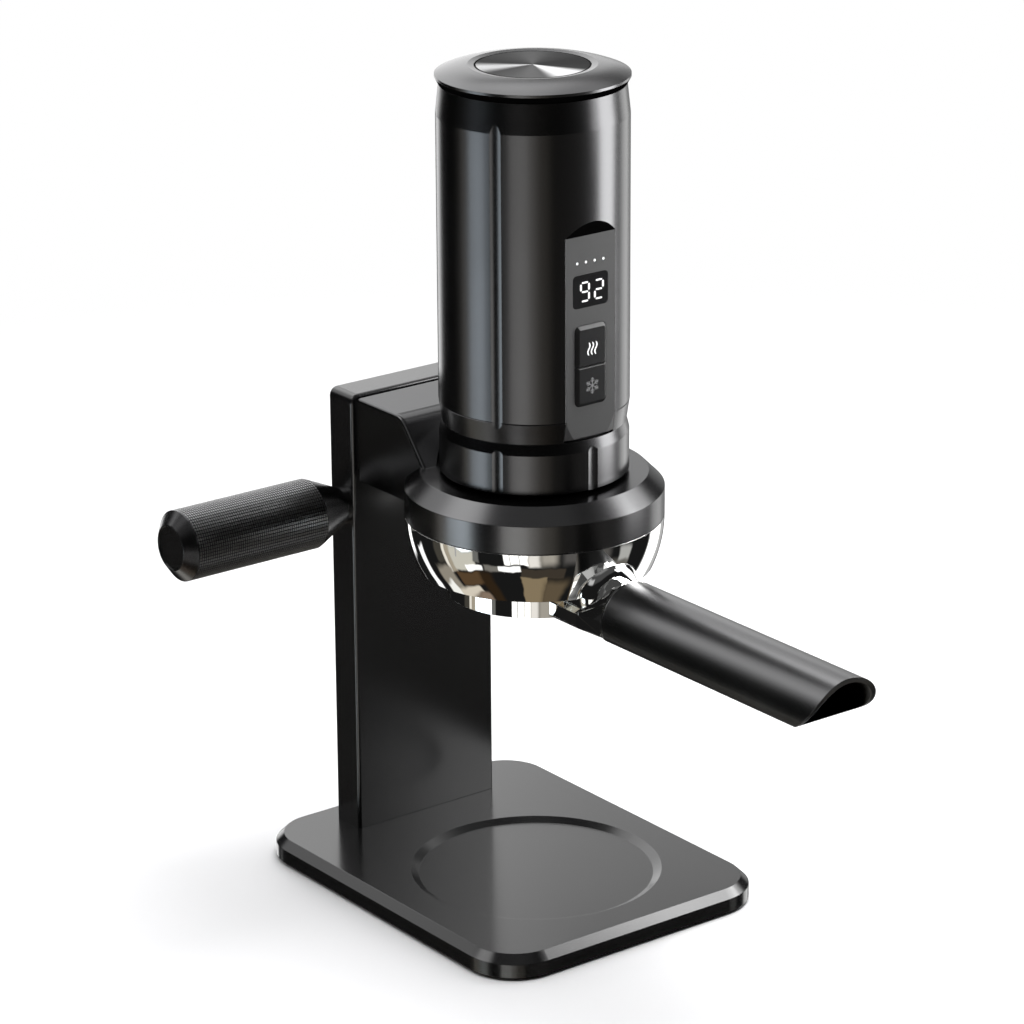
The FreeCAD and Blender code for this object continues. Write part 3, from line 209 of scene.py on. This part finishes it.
def addStudio(patches):
    world = bpy.data.worlds.new("studio")
    bpy.context.scene.world = world
    world.use_nodes = True
    tree = world.node_tree
    tree.nodes.clear()
    direction = addNode(tree, "ShaderNodeTexCoord")

    def along(axis):
        return addNode(tree, "ShaderNodeVectorMath", {"operation": "DOT_PRODUCT"}, output="Value",
                       **{"0": direction, "1": tuple(axis)})

    noise = addNode(tree, "ShaderNodeTexNoise", {"noise_dimensions": "3D"}, output="Color",
                    Vector=direction, Scale=roomWobble["scale"], Detail=2.0)
    wobble = splitPlace(tree, noise)
    bearing = along(viewerRight).math("ARCTAN2", along(towardViewer)) * degrees
    bearing = bearing + (wobble[0] - 0.5) * roomWobble["degrees"]
    elevation = along((0.0, 0.0, 1.0)).math("ARCSINE") * degrees
    elevation = elevation + (wobble[1] - 0.5) * roomWobble["degrees"]
    light = roomDark
    for patch in patches:
        across = bearing.band(*patch["bearing"], patch["edge"])
        upward = elevation.band(*patch["elevation"], patch["edge"])
        light = mixColour(tree, across * upward, light, patch["colour"])
    seen = addNode(tree, "ShaderNodeBackground", Color=(*paleBackground, 1.0), Strength=1.0)
    lit = addNode(tree, "ShaderNodeBackground", Color=light, Strength=1.0)
    path = addNode(tree, "ShaderNodeLightPath", output="Is Camera Ray")
    both = addNode(tree, "ShaderNodeMixShader", **{"0": path, "1": lit, "2": seen})
    out = tree.nodes.new("ShaderNodeOutputWorld")
    tree.links.new(both.socket, out.inputs["Surface"])


addStudio(roomPatches)

# Soft light for the floor and the paint, not seen in reflections
overheadLamp = {"spot": (0.43, -0.09, 1.4), "size": 1.3, "power": 29.3}
# Softboxes stand on the right, seen only in reflections: distance, near and far side, bottom and top
softboxes = {
    "coreSoftbox": {"right": 0.300, "toward": (-0.076, 0.048), "level": (0.090, 0.400), "radiance": 6.4},
    "wideSoftbox": {"right": 0.320, "toward": (-0.130, 0.070), "level": (0.080, 0.350), "radiance": 1.1},
    "highSoftbox": {"right": 0.310, "toward": (0.030, 0.115), "level": (0.240, 0.370), "radiance": 3.0},
}
floorDisc = {"radius": 1.1, "points": 96, "fade": (0.42, 0.85), "colour": (0.86, 0.86, 0.87)}


def addOverhead(lamp):
    data = bpy.data.lights.new("overhead", "AREA")
    data.shape = "DISK"
    data.size = lamp["size"]
    data.energy = lamp["power"]
    lampObject = bpy.data.objects.new("overhead", data)
    lampObject.location = lamp["spot"]
    lampObject.visible_glossy = False
    bpy.context.scene.collection.objects.link(lampObject)


def addSoftbox(name, box):
    wide = box["toward"][1] - box["toward"][0]
    tall = box["level"][1] - box["level"][0]
    data = bpy.data.lights.new(name, "AREA")
    data.shape = "RECTANGLE"
    data.size = wide
    data.size_y = tall
    data.energy = box["radiance"] * math.pi * wide * tall
    lampObject = bpy.data.objects.new(name, data)
    middle = viewerRight * box["right"] + towardViewer * (sum(box["toward"]) / 2)
    middle.z = sum(box["level"]) / 2
    turn = Matrix((-towardViewer, Vector((0, 0, 1)), viewerRight)).transposed()
    lampObject.matrix_world = Matrix.Translation(middle) @ turn.to_4x4()
    lampObject.visible_camera = False
    lampObject.visible_diffuse = False
    bpy.context.scene.collection.objects.link(lampObject)


def addFloor(disc):
    points = disc["points"]
    mesh = bpy.data.meshes.new("floor")
    ring = [(disc["radius"] * math.cos(2 * math.pi * i / points),
             disc["radius"] * math.sin(2 * math.pi * i / points), 0.0) for i in range(points)]
    mesh.from_pydata(ring, [], [list(range(points))])
    floor = bpy.data.objects.new("floor", mesh)
    bpy.context.scene.collection.objects.link(floor)
    floor.visible_glossy = False
    material = bpy.data.materials.new("paleFloor")
    material.use_nodes = True
    tree = material.node_tree
    tree.nodes.clear()
    place = addNode(tree, "ShaderNodeTexCoord", output="Object")
    far = addNode(tree, "ShaderNodeVectorMath", {"operation": "LENGTH"}, output="Value", **{"0": place})
    fade = far.ramp(*disc["fade"])
    matte = addNode(tree, "ShaderNodeBsdfDiffuse", Color=(*disc["colour"], 1.0))
    clear = addNode(tree, "ShaderNodeBsdfTransparent")
    both = addNode(tree, "ShaderNodeMixShader", **{"0": fade, "1": matte, "2": clear})
    out = tree.nodes.new("ShaderNodeOutputMaterial")
    tree.links.new(both.socket, out.inputs["Surface"])
    mesh.materials.append(material)


addOverhead(overheadLamp)
for boxName, softbox in softboxes.items():
    addSoftbox(boxName, softbox)
addFloor(floorDisc)
print("studio set")

# Finishes by the record's slots: colour, metallic, roughness, index of refraction, grain size and depth in
# mm, share of colour variation, and width in mm of the softened edge that catches the light. Where given, rim
# is the share of a metal's edge-on shine that is kept, and spun draws its highlights out across the turning.
finishes = {
    "stand_black": {"colour": (0.007, 0.007, 0.0072), "metal": 0.0, "rough": 0.23, "ior": 1.75,
                    "grain": 0.30, "depth": 0.004, "mottle": 0.25, "edge": 0.35},
    "base_grey": {"colour": (0.006, 0.006, 0.0062), "metal": 0.0, "rough": 0.18, "ior": 1.66,
                  "grain": 0.30, "depth": 0.004, "mottle": 0.25, "edge": 0.35},
    "collar_black": {"colour": (0.13, 0.13, 0.132), "metal": 1.0, "rough": 0.24, "ior": 1.5,
                     "grain": 0.30, "depth": 0.0015, "mottle": 0.10, "edge": 0.30, "rim": 0.70},
    "ballast_steel": {"colour": (0.45, 0.45, 0.46), "metal": 1.0, "rough": 0.45, "ior": 1.5,
                      "grain": 1.5, "depth": 0.02, "mottle": 0.3, "edge": 0.0},
    "screw_steel": {"colour": (0.10, 0.10, 0.105), "metal": 1.0, "rough": 0.35, "ior": 1.5,
                    "grain": 0.3, "depth": 0.004, "mottle": 0.2, "edge": 0.0},
    "bright_steel": {"colour": (0.62, 0.62, 0.63), "metal": 1.0, "rough": 0.25, "ior": 1.5,
                     "grain": 0.4, "depth": 0.003, "mottle": 0.1, "edge": 0.0},
    "foot_rubber": {"colour": (0.02, 0.02, 0.02), "metal": 0.0, "rough": 0.75, "ior": 1.5,
                    "grain": 0.6, "depth": 0.03, "mottle": 0.3, "edge": 0.0},
    "seal_rubber": {"colour": (0.12, 0.05, 0.04), "metal": 0.0, "rough": 0.5, "ior": 1.5,
                    "grain": 0.5, "depth": 0.01, "mottle": 0.2, "edge": 0.0},
    "grip_black": {"colour": (0.13, 0.13, 0.132), "metal": 1.0, "rough": 0.25, "ior": 1.5,
                   "grain": 0.25, "depth": 0.003, "mottle": 0.15, "edge": 0.25},
    "shell_black": {"colour": (0.09, 0.09, 0.092), "metal": 1.0, "rough": 0.25, "ior": 1.5,
                    "grain": 0.2, "depth": 0.001, "mottle": 0.08, "edge": 0.20},
    "window_black": {"colour": (0.022, 0.022, 0.023), "metal": 0.0, "rough": 0.12, "ior": 1.5,
                     "grain": 3.0, "depth": 0.002, "mottle": 0.1, "edge": 0.15},
    "key_black": {"colour": (0.025, 0.025, 0.026), "metal": 0.0, "rough": 0.20, "ior": 1.5,
                  "grain": 0.25, "depth": 0.004, "mottle": 0.2, "edge": 0.45},
    "board_green": {"colour": (0.02, 0.10, 0.05), "metal": 0.0, "rough": 0.4, "ior": 1.5,
                    "grain": 1.0, "depth": 0.01, "mottle": 0.3, "edge": 0.0},
    "inner_plastic": {"colour": (0.06, 0.06, 0.065), "metal": 0.0, "rough": 0.5, "ior": 1.5,
                      "grain": 0.5, "depth": 0.01, "mottle": 0.2, "edge": 0.0},
    "cell_wrap": {"colour": (0.05, 0.16, 0.32), "metal": 0.0, "rough": 0.3, "ior": 1.5,
                  "grain": 2.0, "depth": 0.01, "mottle": 0.1, "edge": 0.0},
    "tank_steel": {"colour": (0.60, 0.60, 0.61), "metal": 1.0, "rough": 0.3, "ior": 1.5,
                   "grain": 0.5, "depth": 0.003, "mottle": 0.1, "edge": 0.0},
    "hose_silicone": {"colour": (0.75, 0.75, 0.74), "metal": 0.0, "rough": 0.4, "ior": 1.5,
                      "grain": 0.5, "depth": 0.003, "mottle": 0.1, "edge": 0.0},
    "lid_grey": {"colour": (0.11, 0.11, 0.112), "metal": 1.0, "rough": 0.25, "ior": 1.5,
                 "grain": 0.2, "depth": 0.0015, "mottle": 0.10, "edge": 0.20},
    "disc_grey": {"colour": (0.95, 0.95, 0.955), "metal": 1.0, "rough": 0.33, "ior": 1.5,
                  "grain": 0.3, "depth": 0.0005, "mottle": 0.06, "edge": 0.0, "spun": 0.93, "rim": 0.55},
    "bright_chrome": {"colour": (0.88, 0.88, 0.87), "metal": 1.0, "rough": 0.02, "ior": 1.5,
                      "grain": 9.0, "depth": 0.0005, "mottle": 0.02, "edge": 0.20},
    "handle_black": {"colour": (0.18, 0.18, 0.182), "metal": 1.0, "rough": 0.29, "ior": 1.5,
                     "grain": 0.25, "depth": 0.0015, "mottle": 0.12, "edge": 0.30, "rim": 0.90},
}
edgeSamples = 4
# Noise shared by every finish: scale of the broad noise, and shares of both noises in colour and roughness
surface = {"broadScale": 28.0, "fineShade": 0.5, "broadRough": 0.25, "fineRough": 0.15, "bump": 0.5}


def startMaterial(name):
    material = bpy.data.materials.new(name)
    material.use_nodes = True
    return material, material.node_tree, material.node_tree.nodes["Principled BSDF"]


# Fine grain, broad mottling and softened edges, shared by every finish
def dressShader(tree, shader, finish, colour):
    place = addNode(tree, "ShaderNodeTexCoord", output="Object")
    fine = addNode(tree, "ShaderNodeTexNoise", {"noise_dimensions": "3D"},
                   Vector=place, Scale=1.0 / (finish["grain"] * mm), Detail=3.0)
    broad = addNode(tree, "ShaderNodeTexNoise", {"noise_dimensions": "3D"},
                    Vector=place, Scale=surface["broadScale"], Detail=4.0)
    fineShade = finish["mottle"] * surface["fineShade"]
    shade = (broad - 0.5) * finish["mottle"] + (fine - 0.5) * fineShade + 1.0
    tint = addNode(tree, "ShaderNodeVectorMath", {"operation": "SCALE"}, **{"0": colour, "Scale": shade})
    tree.links.new(tint.socket, shader.inputs["Base Color"])
    broadRough, fineRough = (finish["rough"] * surface[key] for key in ("broadRough", "fineRough"))
    rough = (broad - 0.5) * broadRough + (fine - 0.5) * fineRough + finish["rough"]
    tree.links.new(rough.socket, shader.inputs["Roughness"])
    bump = addNode(tree, "ShaderNodeBump",
                   Strength=surface["bump"], Distance=finish["depth"] * mm, Height=fine)
    if finish["edge"] > 0:
        soft = addNode(tree, "ShaderNodeBevel", {"samples": edgeSamples}, Radius=finish["edge"] * mm)
        tree.links.new(soft.socket, bump.socket.node.inputs["Normal"])
    tree.links.new(bump.socket, shader.inputs["Normal"])
    return place


def addFinish(name, finish):
    material, tree, shader = startMaterial("finish_" + name)
    shader.inputs["Anisotropic"].default_value = finish.get("spun", 0.0)
    shader.inputs["Specular Tint"].default_value = (*(finish.get("rim", 1.0),) * 3, 1.0)
    shader.inputs["Metallic"].default_value = finish["metal"]
    shader.inputs["IOR"].default_value = finish["ior"]
    dressShader(tree, shader, finish, finish["colour"])
    return material


# Painted shade: the brewer's cut face over the panel and the lid's underside look down, and the keys' flanks
# look left and down; these faces get a dark matt shader mixed in. Each face's true normal points backwards
# along one of the axes.
paintedShadeFaces = {
    "shell_black": {"axes": (2,), "colour": (0.002, 0.002, 0.002), "facing": (0.25, 0.35)},
    "lid_grey": {"axes": (2,), "colour": (0.002, 0.002, 0.002), "facing": (0.25, 0.35)},
    "key_black": {"axes": (0, 2), "colour": (0.022, 0.022, 0.022), "facing": (0.25, 0.35)},
}


def addPaintedShadeFaces(material, paintedShade):
    tree = material.node_tree
    normal = splitPlace(tree, addNode(tree, "ShaderNodeNewGeometry", output="True Normal"))
    shares = [(normal[axis] * -1.0).ramp(*paintedShade["facing"]) for axis in paintedShade["axes"]]
    share = shares[0] if len(shares) == 1 else shares[0].math("MAXIMUM", shares[1])
    # The dark matt shader is painted shade on the faces that look away
    black = addNode(tree, "ShaderNodeBsdfDiffuse", Color=(*paintedShade["colour"], 1.0))
    glossy = Wire(tree, tree.nodes["Principled BSDF"].outputs[0])
    both = addNode(tree, "ShaderNodeMixShader", **{"0": share, "1": glossy, "2": black})
    tree.links.new(both.socket, tree.nodes["Material Output"].inputs["Surface"])


# Painted highlight: the keys' right and upper bevels get a lighter colour; their true normals point along the
# axes
keyBevelHighlight = {"axes": (0, 2), "colour": (0.20, 0.20, 0.20), "facing": (0.45, 0.60)}


def addPaintedHighlight(material, highlight):
    tree = material.node_tree
    shader = tree.nodes["Principled BSDF"]
    normal = splitPlace(tree, addNode(tree, "ShaderNodeNewGeometry", output="True Normal"))
    right, upper = (normal[axis].ramp(*highlight["facing"]) for axis in highlight["axes"])
    # The lighter colour on these bevels is a painted highlight
    share = right.math("MAXIMUM", upper)
    plain = Wire(tree, shader.inputs["Base Color"].links[0].from_socket)
    tree.links.new(mixColour(tree, share, plain, highlight["colour"]).socket, shader.inputs["Base Color"])


# Panel: speckled grey plastic on its front, the brewer's own finish where it follows the body's foot
panelFinish = {"colour": (0.060, 0.060, 0.0607), "speckle": 0.28, "speckleSize": 0.22,
               "speckleStep": (0.35, 0.65), "rough": 0.45, "grain": 0.22, "depth": 0.010,
               "mottle": 0.10, "edge": 0.20, "facing": (0.75, 0.85)}


def addPanelFinish(finish, shell):
    material, tree, shader = startMaterial("finish_panel_grey")
    place = addNode(tree, "ShaderNodeTexCoord", output="Object")
    normal = addNode(tree, "ShaderNodeNewGeometry", output="True Normal")
    front = (splitPlace(tree, normal)[1] * -1.0).ramp(*finish["facing"])
    speck = addNode(tree, "ShaderNodeTexNoise", {"noise_dimensions": "3D"}, Vector=place,
                    Scale=1.0 / (finish["speckleSize"] * mm), Detail=2.0)
    light = tuple(part * (1 + finish["speckle"]) for part in finish["colour"])
    dark = tuple(part * (1 - finish["speckle"]) for part in finish["colour"])
    grey = mixColour(tree, speck.ramp(*finish["speckleStep"]), dark, light)
    colour = mixColour(tree, front, shell["colour"], grey)
    dressShader(tree, shader, finish, colour)
    rough = (front * (finish["rough"] - shell["rough"])) + shell["rough"]
    tree.links.new(rough.socket, shader.inputs["Roughness"])
    tree.links.new((1.0 - front).socket, shader.inputs["Metallic"])
    return material


# Indicator lights: a small lit core in a dark ring, repeated at the lights' pitch
lightFinish = {"core": (0.42, 0.60), "lens": (0.7, 0.7, 0.7), "ring": (0.012, 0.012, 0.012), "rough": 0.3,
               "glow": (1.0, 1.0, 1.0), "dark": (0.0, 0.0, 0.0), "strength": 1.0, "count": 4}


def addLightFinish(finish):
    material, tree, shader = startMaterial("finish_light_white")
    low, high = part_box("indicator_lights")
    radius = (high[2] - low[2]) / 2
    pitch = (high[0] - low[0] - 2 * radius) / (finish["count"] - 1)
    place = addNode(tree, "ShaderNodeTexCoord", output="Object")
    x, _, z = splitPlace(tree, place)
    side = ((x - low[0] - radius + pitch / 2).math("MODULO", pitch) - pitch / 2) / mm
    rise = (z - (low[2] + high[2]) / 2) / mm
    far = ((side * side) + (rise * rise)).math("SQRT")
    ringShare = far.ramp(*finish["core"])
    glow = mixColour(tree, ringShare, finish["glow"], finish["dark"])
    tint = mixColour(tree, ringShare, finish["lens"], finish["ring"])
    tree.links.new(tint.socket, shader.inputs["Base Color"])
    tree.links.new(glow.socket, shader.inputs["Emission Color"])
    shader.inputs["Emission Strength"].default_value = finish["strength"]
    shader.inputs["Roughness"].default_value = finish["rough"]
    return material


# Lit digits and printed signs. The digits glow with the display's own light; the glow on the printed key
# signs is painted light.
signFinishes = {
    "sign_white": {"colour": (0.75, 0.75, 0.75), "glow": (1.0, 1.0, 1.0), "strength": 0.9},
    "sign_grey": {"colour": (0.22, 0.22, 0.225), "glow": (0.30, 0.30, 0.30), "strength": 0.35},
}
signInk = {"grainScale": 1500.0, "darker": 0.85, "dimmer": 0.9, "rough": 0.35}


def addSignFinish(name, finish):
    material, tree, shader = startMaterial("finish_" + name)
    place = addNode(tree, "ShaderNodeTexCoord", output="Object")
    fine = addNode(tree, "ShaderNodeTexNoise", {"noise_dimensions": "3D"},
                   Vector=place, Scale=signInk["grainScale"], Detail=2.0)
    darker = tuple(part * signInk["darker"] for part in finish["colour"])
    tree.links.new(mixColour(tree, fine, darker, finish["colour"]).socket, shader.inputs["Base Color"])
    dimmer = tuple(part * signInk["dimmer"] for part in finish["glow"])
    tree.links.new(mixColour(tree, fine, dimmer, finish["glow"]).socket, shader.inputs["Emission Color"])
    # Emission: the display's own light on the digits, painted light on the printed key signs
    shader.inputs["Emission Strength"].default_value = finish["strength"]
    shader.inputs["Roughness"].default_value = signInk["rough"]
    return material


finishBySlot = {name: addFinish(name, finish) for name, finish in finishes.items()}
for name, paintedShade in paintedShadeFaces.items():
    addPaintedShadeFaces(finishBySlot[name], paintedShade)
addPaintedHighlight(finishBySlot["key_black"], keyBevelHighlight)
finishBySlot["panel_grey"] = addPanelFinish(panelFinish, finishes["shell_black"])
finishBySlot["light_white"] = addLightFinish(lightFinish)
signMaterials = {name: addSignFinish(name, finish) for name, finish in signFinishes.items()}
for row in record["subparts"]:
    piece = nodes[row["node"]]
    piece.data.materials.clear()
    piece.data.materials.append(finishBySlot[row["material_slot"]])
print("finishes set")


def addPiece(name, points, faces, material, body):
    mesh = bpy.data.meshes.new(name)
    mesh.from_pydata(points, [], faces)
    work = bmesh.new()
    work.from_mesh(mesh)
    bmesh.ops.recalc_face_normals(work, faces=work.faces)
    work.to_mesh(mesh)
    work.free()
    for polygon in mesh.polygons:
        polygon.use_smooth = False
    mesh.materials.append(material)
    made = bpy.data.objects.new(name, mesh)
    bpy.context.scene.collection.objects.link(made)
    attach(made, body)
    return made


# Faces between two closed rings of points, each given by the number of its first point
def joinRings(first, second, around):
    return [(first + i, first + (i + 1) % around, second + (i + 1) % around, second + i)
            for i in range(around)]


# Knurled sleeve of the side grip: square studs with flat tops in rows along the barrel. The grooves get
# painted shade between two depths in mm.
knurl = {"round": 66, "along": 60, "depth": 0.30, "top": 0.66, "grooveShade": 0.15,
         "grooveStep": (0.02, 0.225), "boreRadius": 4.05, "mouthRadius": 8.05, "mouthLength": 6.3}
knurlFinish = {"colour": (0.36, 0.36, 0.362), "metal": 1.0, "rough": 0.34, "ior": 1.5, "grain": 0.25,
               "depth": 0.003, "mottle": 0.15, "edge": 0.0}


# The grip's finish, with painted shade down in the grooves
def addKnurlFinish(sizes, finish, middleY, middleZ, outer):
    material, tree, shader = startMaterial("finish_knurl")
    place = addNode(tree, "ShaderNodeTexCoord", output="Object")
    _, y, z = splitPlace(tree, place)
    side, rise = (y - middleY) / mm, (z - middleZ) / mm
    deep = (outer / mm) - ((side * side) + (rise * rise)).math("SQRT")
    # Painted shade: the colour darkens with depth in the grooves between the studs
    grooveShadeShare = deep.ramp(*sizes["grooveStep"])
    dark = tuple(part * sizes["grooveShade"] for part in finish["colour"])
    dressShader(tree, shader, finish, mixColour(tree, grooveShadeShare, finish["colour"], dark))
    shader.inputs["Metallic"].default_value = finish["metal"]
    shader.inputs["IOR"].default_value = finish["ior"]
    return material


def addKnurledSleeve(sizes):
    low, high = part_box("grip_sleeve")
    middleY, middleZ = (low[1] + high[1]) / 2, (low[2] + high[2]) / 2
    outer = (high[2] - low[2]) / 2
    valley = outer - sizes["depth"] * mm
    start, end = low[0], high[0]
    pitch = (end - start) / sizes["along"]
    around = sizes["round"]
    inset = (1 - sizes["top"]) / 2

    def spot(radius, x, turn):
        angle = 2 * math.pi * turn / around
        return (x, middleY + radius * math.cos(angle), middleZ + radius * math.sin(angle))

    points = [spot(valley, start + pitch * row, i)
              for row in range(sizes["along"] + 1) for i in range(around)]
    faces = []
    for row in range(sizes["along"]):
        for i in range(around):
            corners = [row * around + i, row * around + (i + 1) % around,
                       (row + 1) * around + (i + 1) % around, (row + 1) * around + i]
            first = len(points)
            points += [spot(outer, start + pitch * (row + along), i + turn)
                       for along, turn in ((inset, inset), (inset, 1 - inset), (1 - inset, 1 - inset),
                                           (1 - inset, inset))]
            faces.append((first, first + 1, first + 2, first + 3))
            faces += [(corners[k], corners[(k + 1) % 4], first + (k + 1) % 4, first + k) for k in range(4)]
    mouth, bore = sizes["mouthRadius"] * mm, sizes["boreRadius"] * mm
    step = start + sizes["mouthLength"] * mm
    inner = len(points)
    for radius, x in ((mouth, start), (mouth, step), (bore, step), (bore, end)):
        points += [spot(radius, x, i) for i in range(around)]
    last = sizes["along"] * around
    for first, second in ((0, inner), (inner, inner + around), (inner + around, inner + 2 * around),
                          (inner + 2 * around, inner + 3 * around), (inner + 3 * around, last)):
        faces += joinRings(first, second, around)
    finish = addKnurlFinish(sizes, knurlFinish, middleY, middleZ, outer)
    sleeve = addPiece("knurled_sleeve", points, faces, finish, "stand")
    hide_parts("grip_sleeve")


addKnurledSleeve(knurl)
print("sleeve knurled")

# Spun disc in the lid: fine turned grooves. The fan of light and dark that they show is a painted highlight
# and
# painted reflection in the colour: wedges about the centre (degrees from +X), as shares of the colour. The
# disc's edge is dark.
spun = {"pitch": 0.36, "depth": 0.004, "around": 160, "centre": 0.30, "rim": 0.15, "darkRim": (0.55, 0.30)}
paintedDiscFan = {"rest": 0.042, "wedges": ({"middle": -86.0, "half": 21.0, "edge": 9.0, "share": 1.0},
                                     {"middle": 157.0, "half": 15.0, "edge": 13.0, "share": 1.0},
                                     {"middle": -150.0, "half": 26.0, "edge": 30.0, "share": 0.12})}


def addDiscFinish(sizes, paintedFan, finish, radius):
    material, tree, shader = startMaterial("finish_disc")
    place = addNode(tree, "ShaderNodeTexCoord", output="Object")
    x, y, _ = splitPlace(tree, place)
    share = paintedFan["rest"]
    for wedge in paintedFan["wedges"]:
        middle = math.radians(wedge["middle"])
        along = x * math.cos(middle) + y * math.sin(middle)
        side = y * math.cos(middle) - x * math.sin(middle)
        turn = side.math("ARCTAN2", along).math("ABSOLUTE") * degrees
        inside = 1.0 - turn.ramp(wedge["half"] - wedge["edge"], wedge["half"] + wedge["edge"])
        share = inside * (wedge["share"] - paintedFan["rest"]) + share
    reach = ((x * x) + (y * y)).math("SQRT") / mm
    body = 1.0 - reach.ramp(*(radius / mm - inset for inset in sizes["darkRim"]))
    # Painted highlight and painted reflection: the wedges set how much of the bright colour shows
    colour = mixColour(tree, share * body, (0.0, 0.0, 0.0), finish["colour"])
    dressShader(tree, shader, finish, colour)
    shader.inputs["Anisotropic"].default_value = finish["spun"]
    shader.inputs["Specular Tint"].default_value = (*(finish["rim"],) * 3, 1.0)
    shader.inputs["Metallic"].default_value = finish["metal"]
    return material


def addSpunDisc(sizes):
    low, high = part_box("lid_disc")
    top, bottom = high[2], low[2]
    radius = (high[0] - low[0]) / 2
    around = sizes["around"]
    rings = []
    grooves = int((radius - (sizes["centre"] + sizes["rim"]) * mm) / (sizes["pitch"] * mm))
    for count in range(grooves):
        reach = (sizes["centre"] + count * sizes["pitch"]) * mm
        rings += [(reach, top), (reach + sizes["pitch"] / 2 * mm, top - sizes["depth"] * mm)]
    rings += [(radius - sizes["rim"] * mm, top), (radius, top - sizes["rim"] * mm), (radius, bottom)]
    points = [(reach * math.cos(2 * math.pi * i / around), reach * math.sin(2 * math.pi * i / around), level)
              for reach, level in rings for i in range(around)]
    faces = []
    for ring in range(len(rings) - 1):
        faces += joinRings(ring * around, (ring + 1) * around, around)
    faces += [tuple(range(around)), tuple(range(len(points) - around, len(points)))]
    finish = addDiscFinish(sizes, paintedDiscFan, finishes["disc_grey"], radius)
    disc = addPiece("spun_disc", points, faces, finish, "lid")
    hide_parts("lid_disc")


addSpunDisc(spun)
print("disc spun")


# Thin raised signs on a face that looks along -Y: each outline is a list of (x, z) in mm
def addSign(name, outlines, front, material, body, thick=0.05):
    points = []
    faces = []
    for outline in outlines:
        count = len(outline)
        first = len(points)
        for y in (front - thick * 0.5 * mm, front + thick * 0.5 * mm):
            points += [(x * mm, y, z * mm) for x, z in outline]
        faces.append(tuple(range(first, first + count)))
        faces.append(tuple(range(first + 2 * count - 1, first + count - 1, -1)))
        faces += joinRings(first, first + count, count)
    return addPiece(name, points, faces, signMaterials[material], body)


# Seven-segment digits: width and height to the segments' middle lines, stroke widths, gap between segments
digits = {"left": {"x": -2.5, "lit": "abcdfg"}, "right": {"x": 4.0, "lit": "abged"}}
digitForm = {"width": 3.75, "height": 7.0, "level": 252.0, "upright": 0.88, "crossbar": 0.68, "gap": 0.34}


def segmentOutline(letter, x, form):
    half, tall = form["width"] / 2, form["height"] / 2
    uprights = {"b": (half, 1), "c": (half, -1), "e": (-half, -1), "f": (-half, 1)}
    if letter in uprights:
        side, up = uprights[letter]
        near, far = form["gap"], tall - form["gap"]
        stroke = form["upright"] / 2
        line = [(0, near), (stroke, near + stroke), (stroke, far - stroke), (0, far),
                (-stroke, far - stroke), (-stroke, near + stroke)]
        return [(x + side + across, form["level"] + up * along) for across, along in line]
    level = {"a": tall, "g": 0.0, "d": -tall}[letter]
    stroke = form["crossbar"] / 2
    far = half - form["gap"]
    line = [(-far, 0), (-far + stroke, stroke), (far - stroke, stroke), (far, 0),
            (far - stroke, -stroke), (-far + stroke, -stroke)]
    return [(x + across, form["level"] + level + along) for across, along in line]


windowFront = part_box("display_window")[0][1]
for side, digit in digits.items():
    outlines = [segmentOutline(letter, digit["x"], digitForm) for letter in digit["lit"]]
    addSign("digit_" + side, outlines, windowFront, "sign_white", "brewer")
print("digits set")

# Heat sign on the upper key: three rising waves
waves = {"count": 3, "pitch": 1.64, "height": 4.9, "swing": 0.50, "stroke": 0.58, "steps": 22, "level": -1.8,
         "tip": 0.35, "taper": 6}


def waveOutline(x, level, form):
    left, right = [], []
    for step in range(form["steps"] + 1):
        share = step / form["steps"]
        turn = 2 * math.pi * share
        middle = x - form["swing"] * math.sin(turn)
        lean = math.atan2(-form["swing"] * 2 * math.pi / form["height"] * math.cos(turn), 1.0)
        half = form["stroke"] / 2 * min(1.0, form["tip"] + form["taper"] * min(share, 1 - share))
        z = level + form["height"] * (share - 0.5)
        left.append((middle - half * math.cos(lean), z + half * math.sin(lean)))
        right.append((middle + half * math.cos(lean), z - half * math.sin(lean)))
    return left + right[::-1]


heatLow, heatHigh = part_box("heat_button")
heatLevel = (heatLow[2] + heatHigh[2]) / 2 / mm + waves["level"]
outlines = [waveOutline(waves["pitch"] * (count - (waves["count"] - 1) / 2), heatLevel, waves)
            for count in range(waves["count"])]
addSign("heat_sign", outlines, heatLow[1], "sign_white", "heat_button")

# Cold sign on the lower key: a plain six-armed snow crystal
crystal = {"arm": 3.2, "stroke": 0.34, "branchAt": (1.55, 2.35), "branch": (1.05, 0.75), "lean": 60.0,
           "branchStroke": 0.85, "level": 0.4, "arms": 6, "firstArm": 30}


def barOutline(start, angle, length, stroke):
    along = (math.cos(angle), math.sin(angle))
    across = (-along[1] * stroke / 2, along[0] * stroke / 2)
    end = (start[0] + along[0] * length, start[1] + along[1] * length)
    return [(start[0] - across[0], start[1] - across[1]), (end[0] - across[0], end[1] - across[1]),
            (end[0] + across[0], end[1] + across[1]), (start[0] + across[0], start[1] + across[1])]


coldLow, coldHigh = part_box("cold_button")
centre = (0.0, (coldLow[2] + coldHigh[2]) / 2 / mm + crystal["level"])
outlines = []
for arm in range(crystal["arms"]):
    angle = math.radians(360 / crystal["arms"] * arm + crystal["firstArm"])
    outlines.append(barOutline(centre, angle, crystal["arm"], crystal["stroke"]))
    for reach, length in zip(crystal["branchAt"], crystal["branch"]):
        root = (centre[0] + reach * math.cos(angle), centre[1] + reach * math.sin(angle))
        for side in (-1, 1):
            outlines.append(barOutline(root, angle + side * math.radians(crystal["lean"]), length,
                                       crystal["stroke"] * crystal["branchStroke"]))
addSign("cold_sign", outlines, coldLow[1], "sign_grey", "cold_button")
print("signs set")
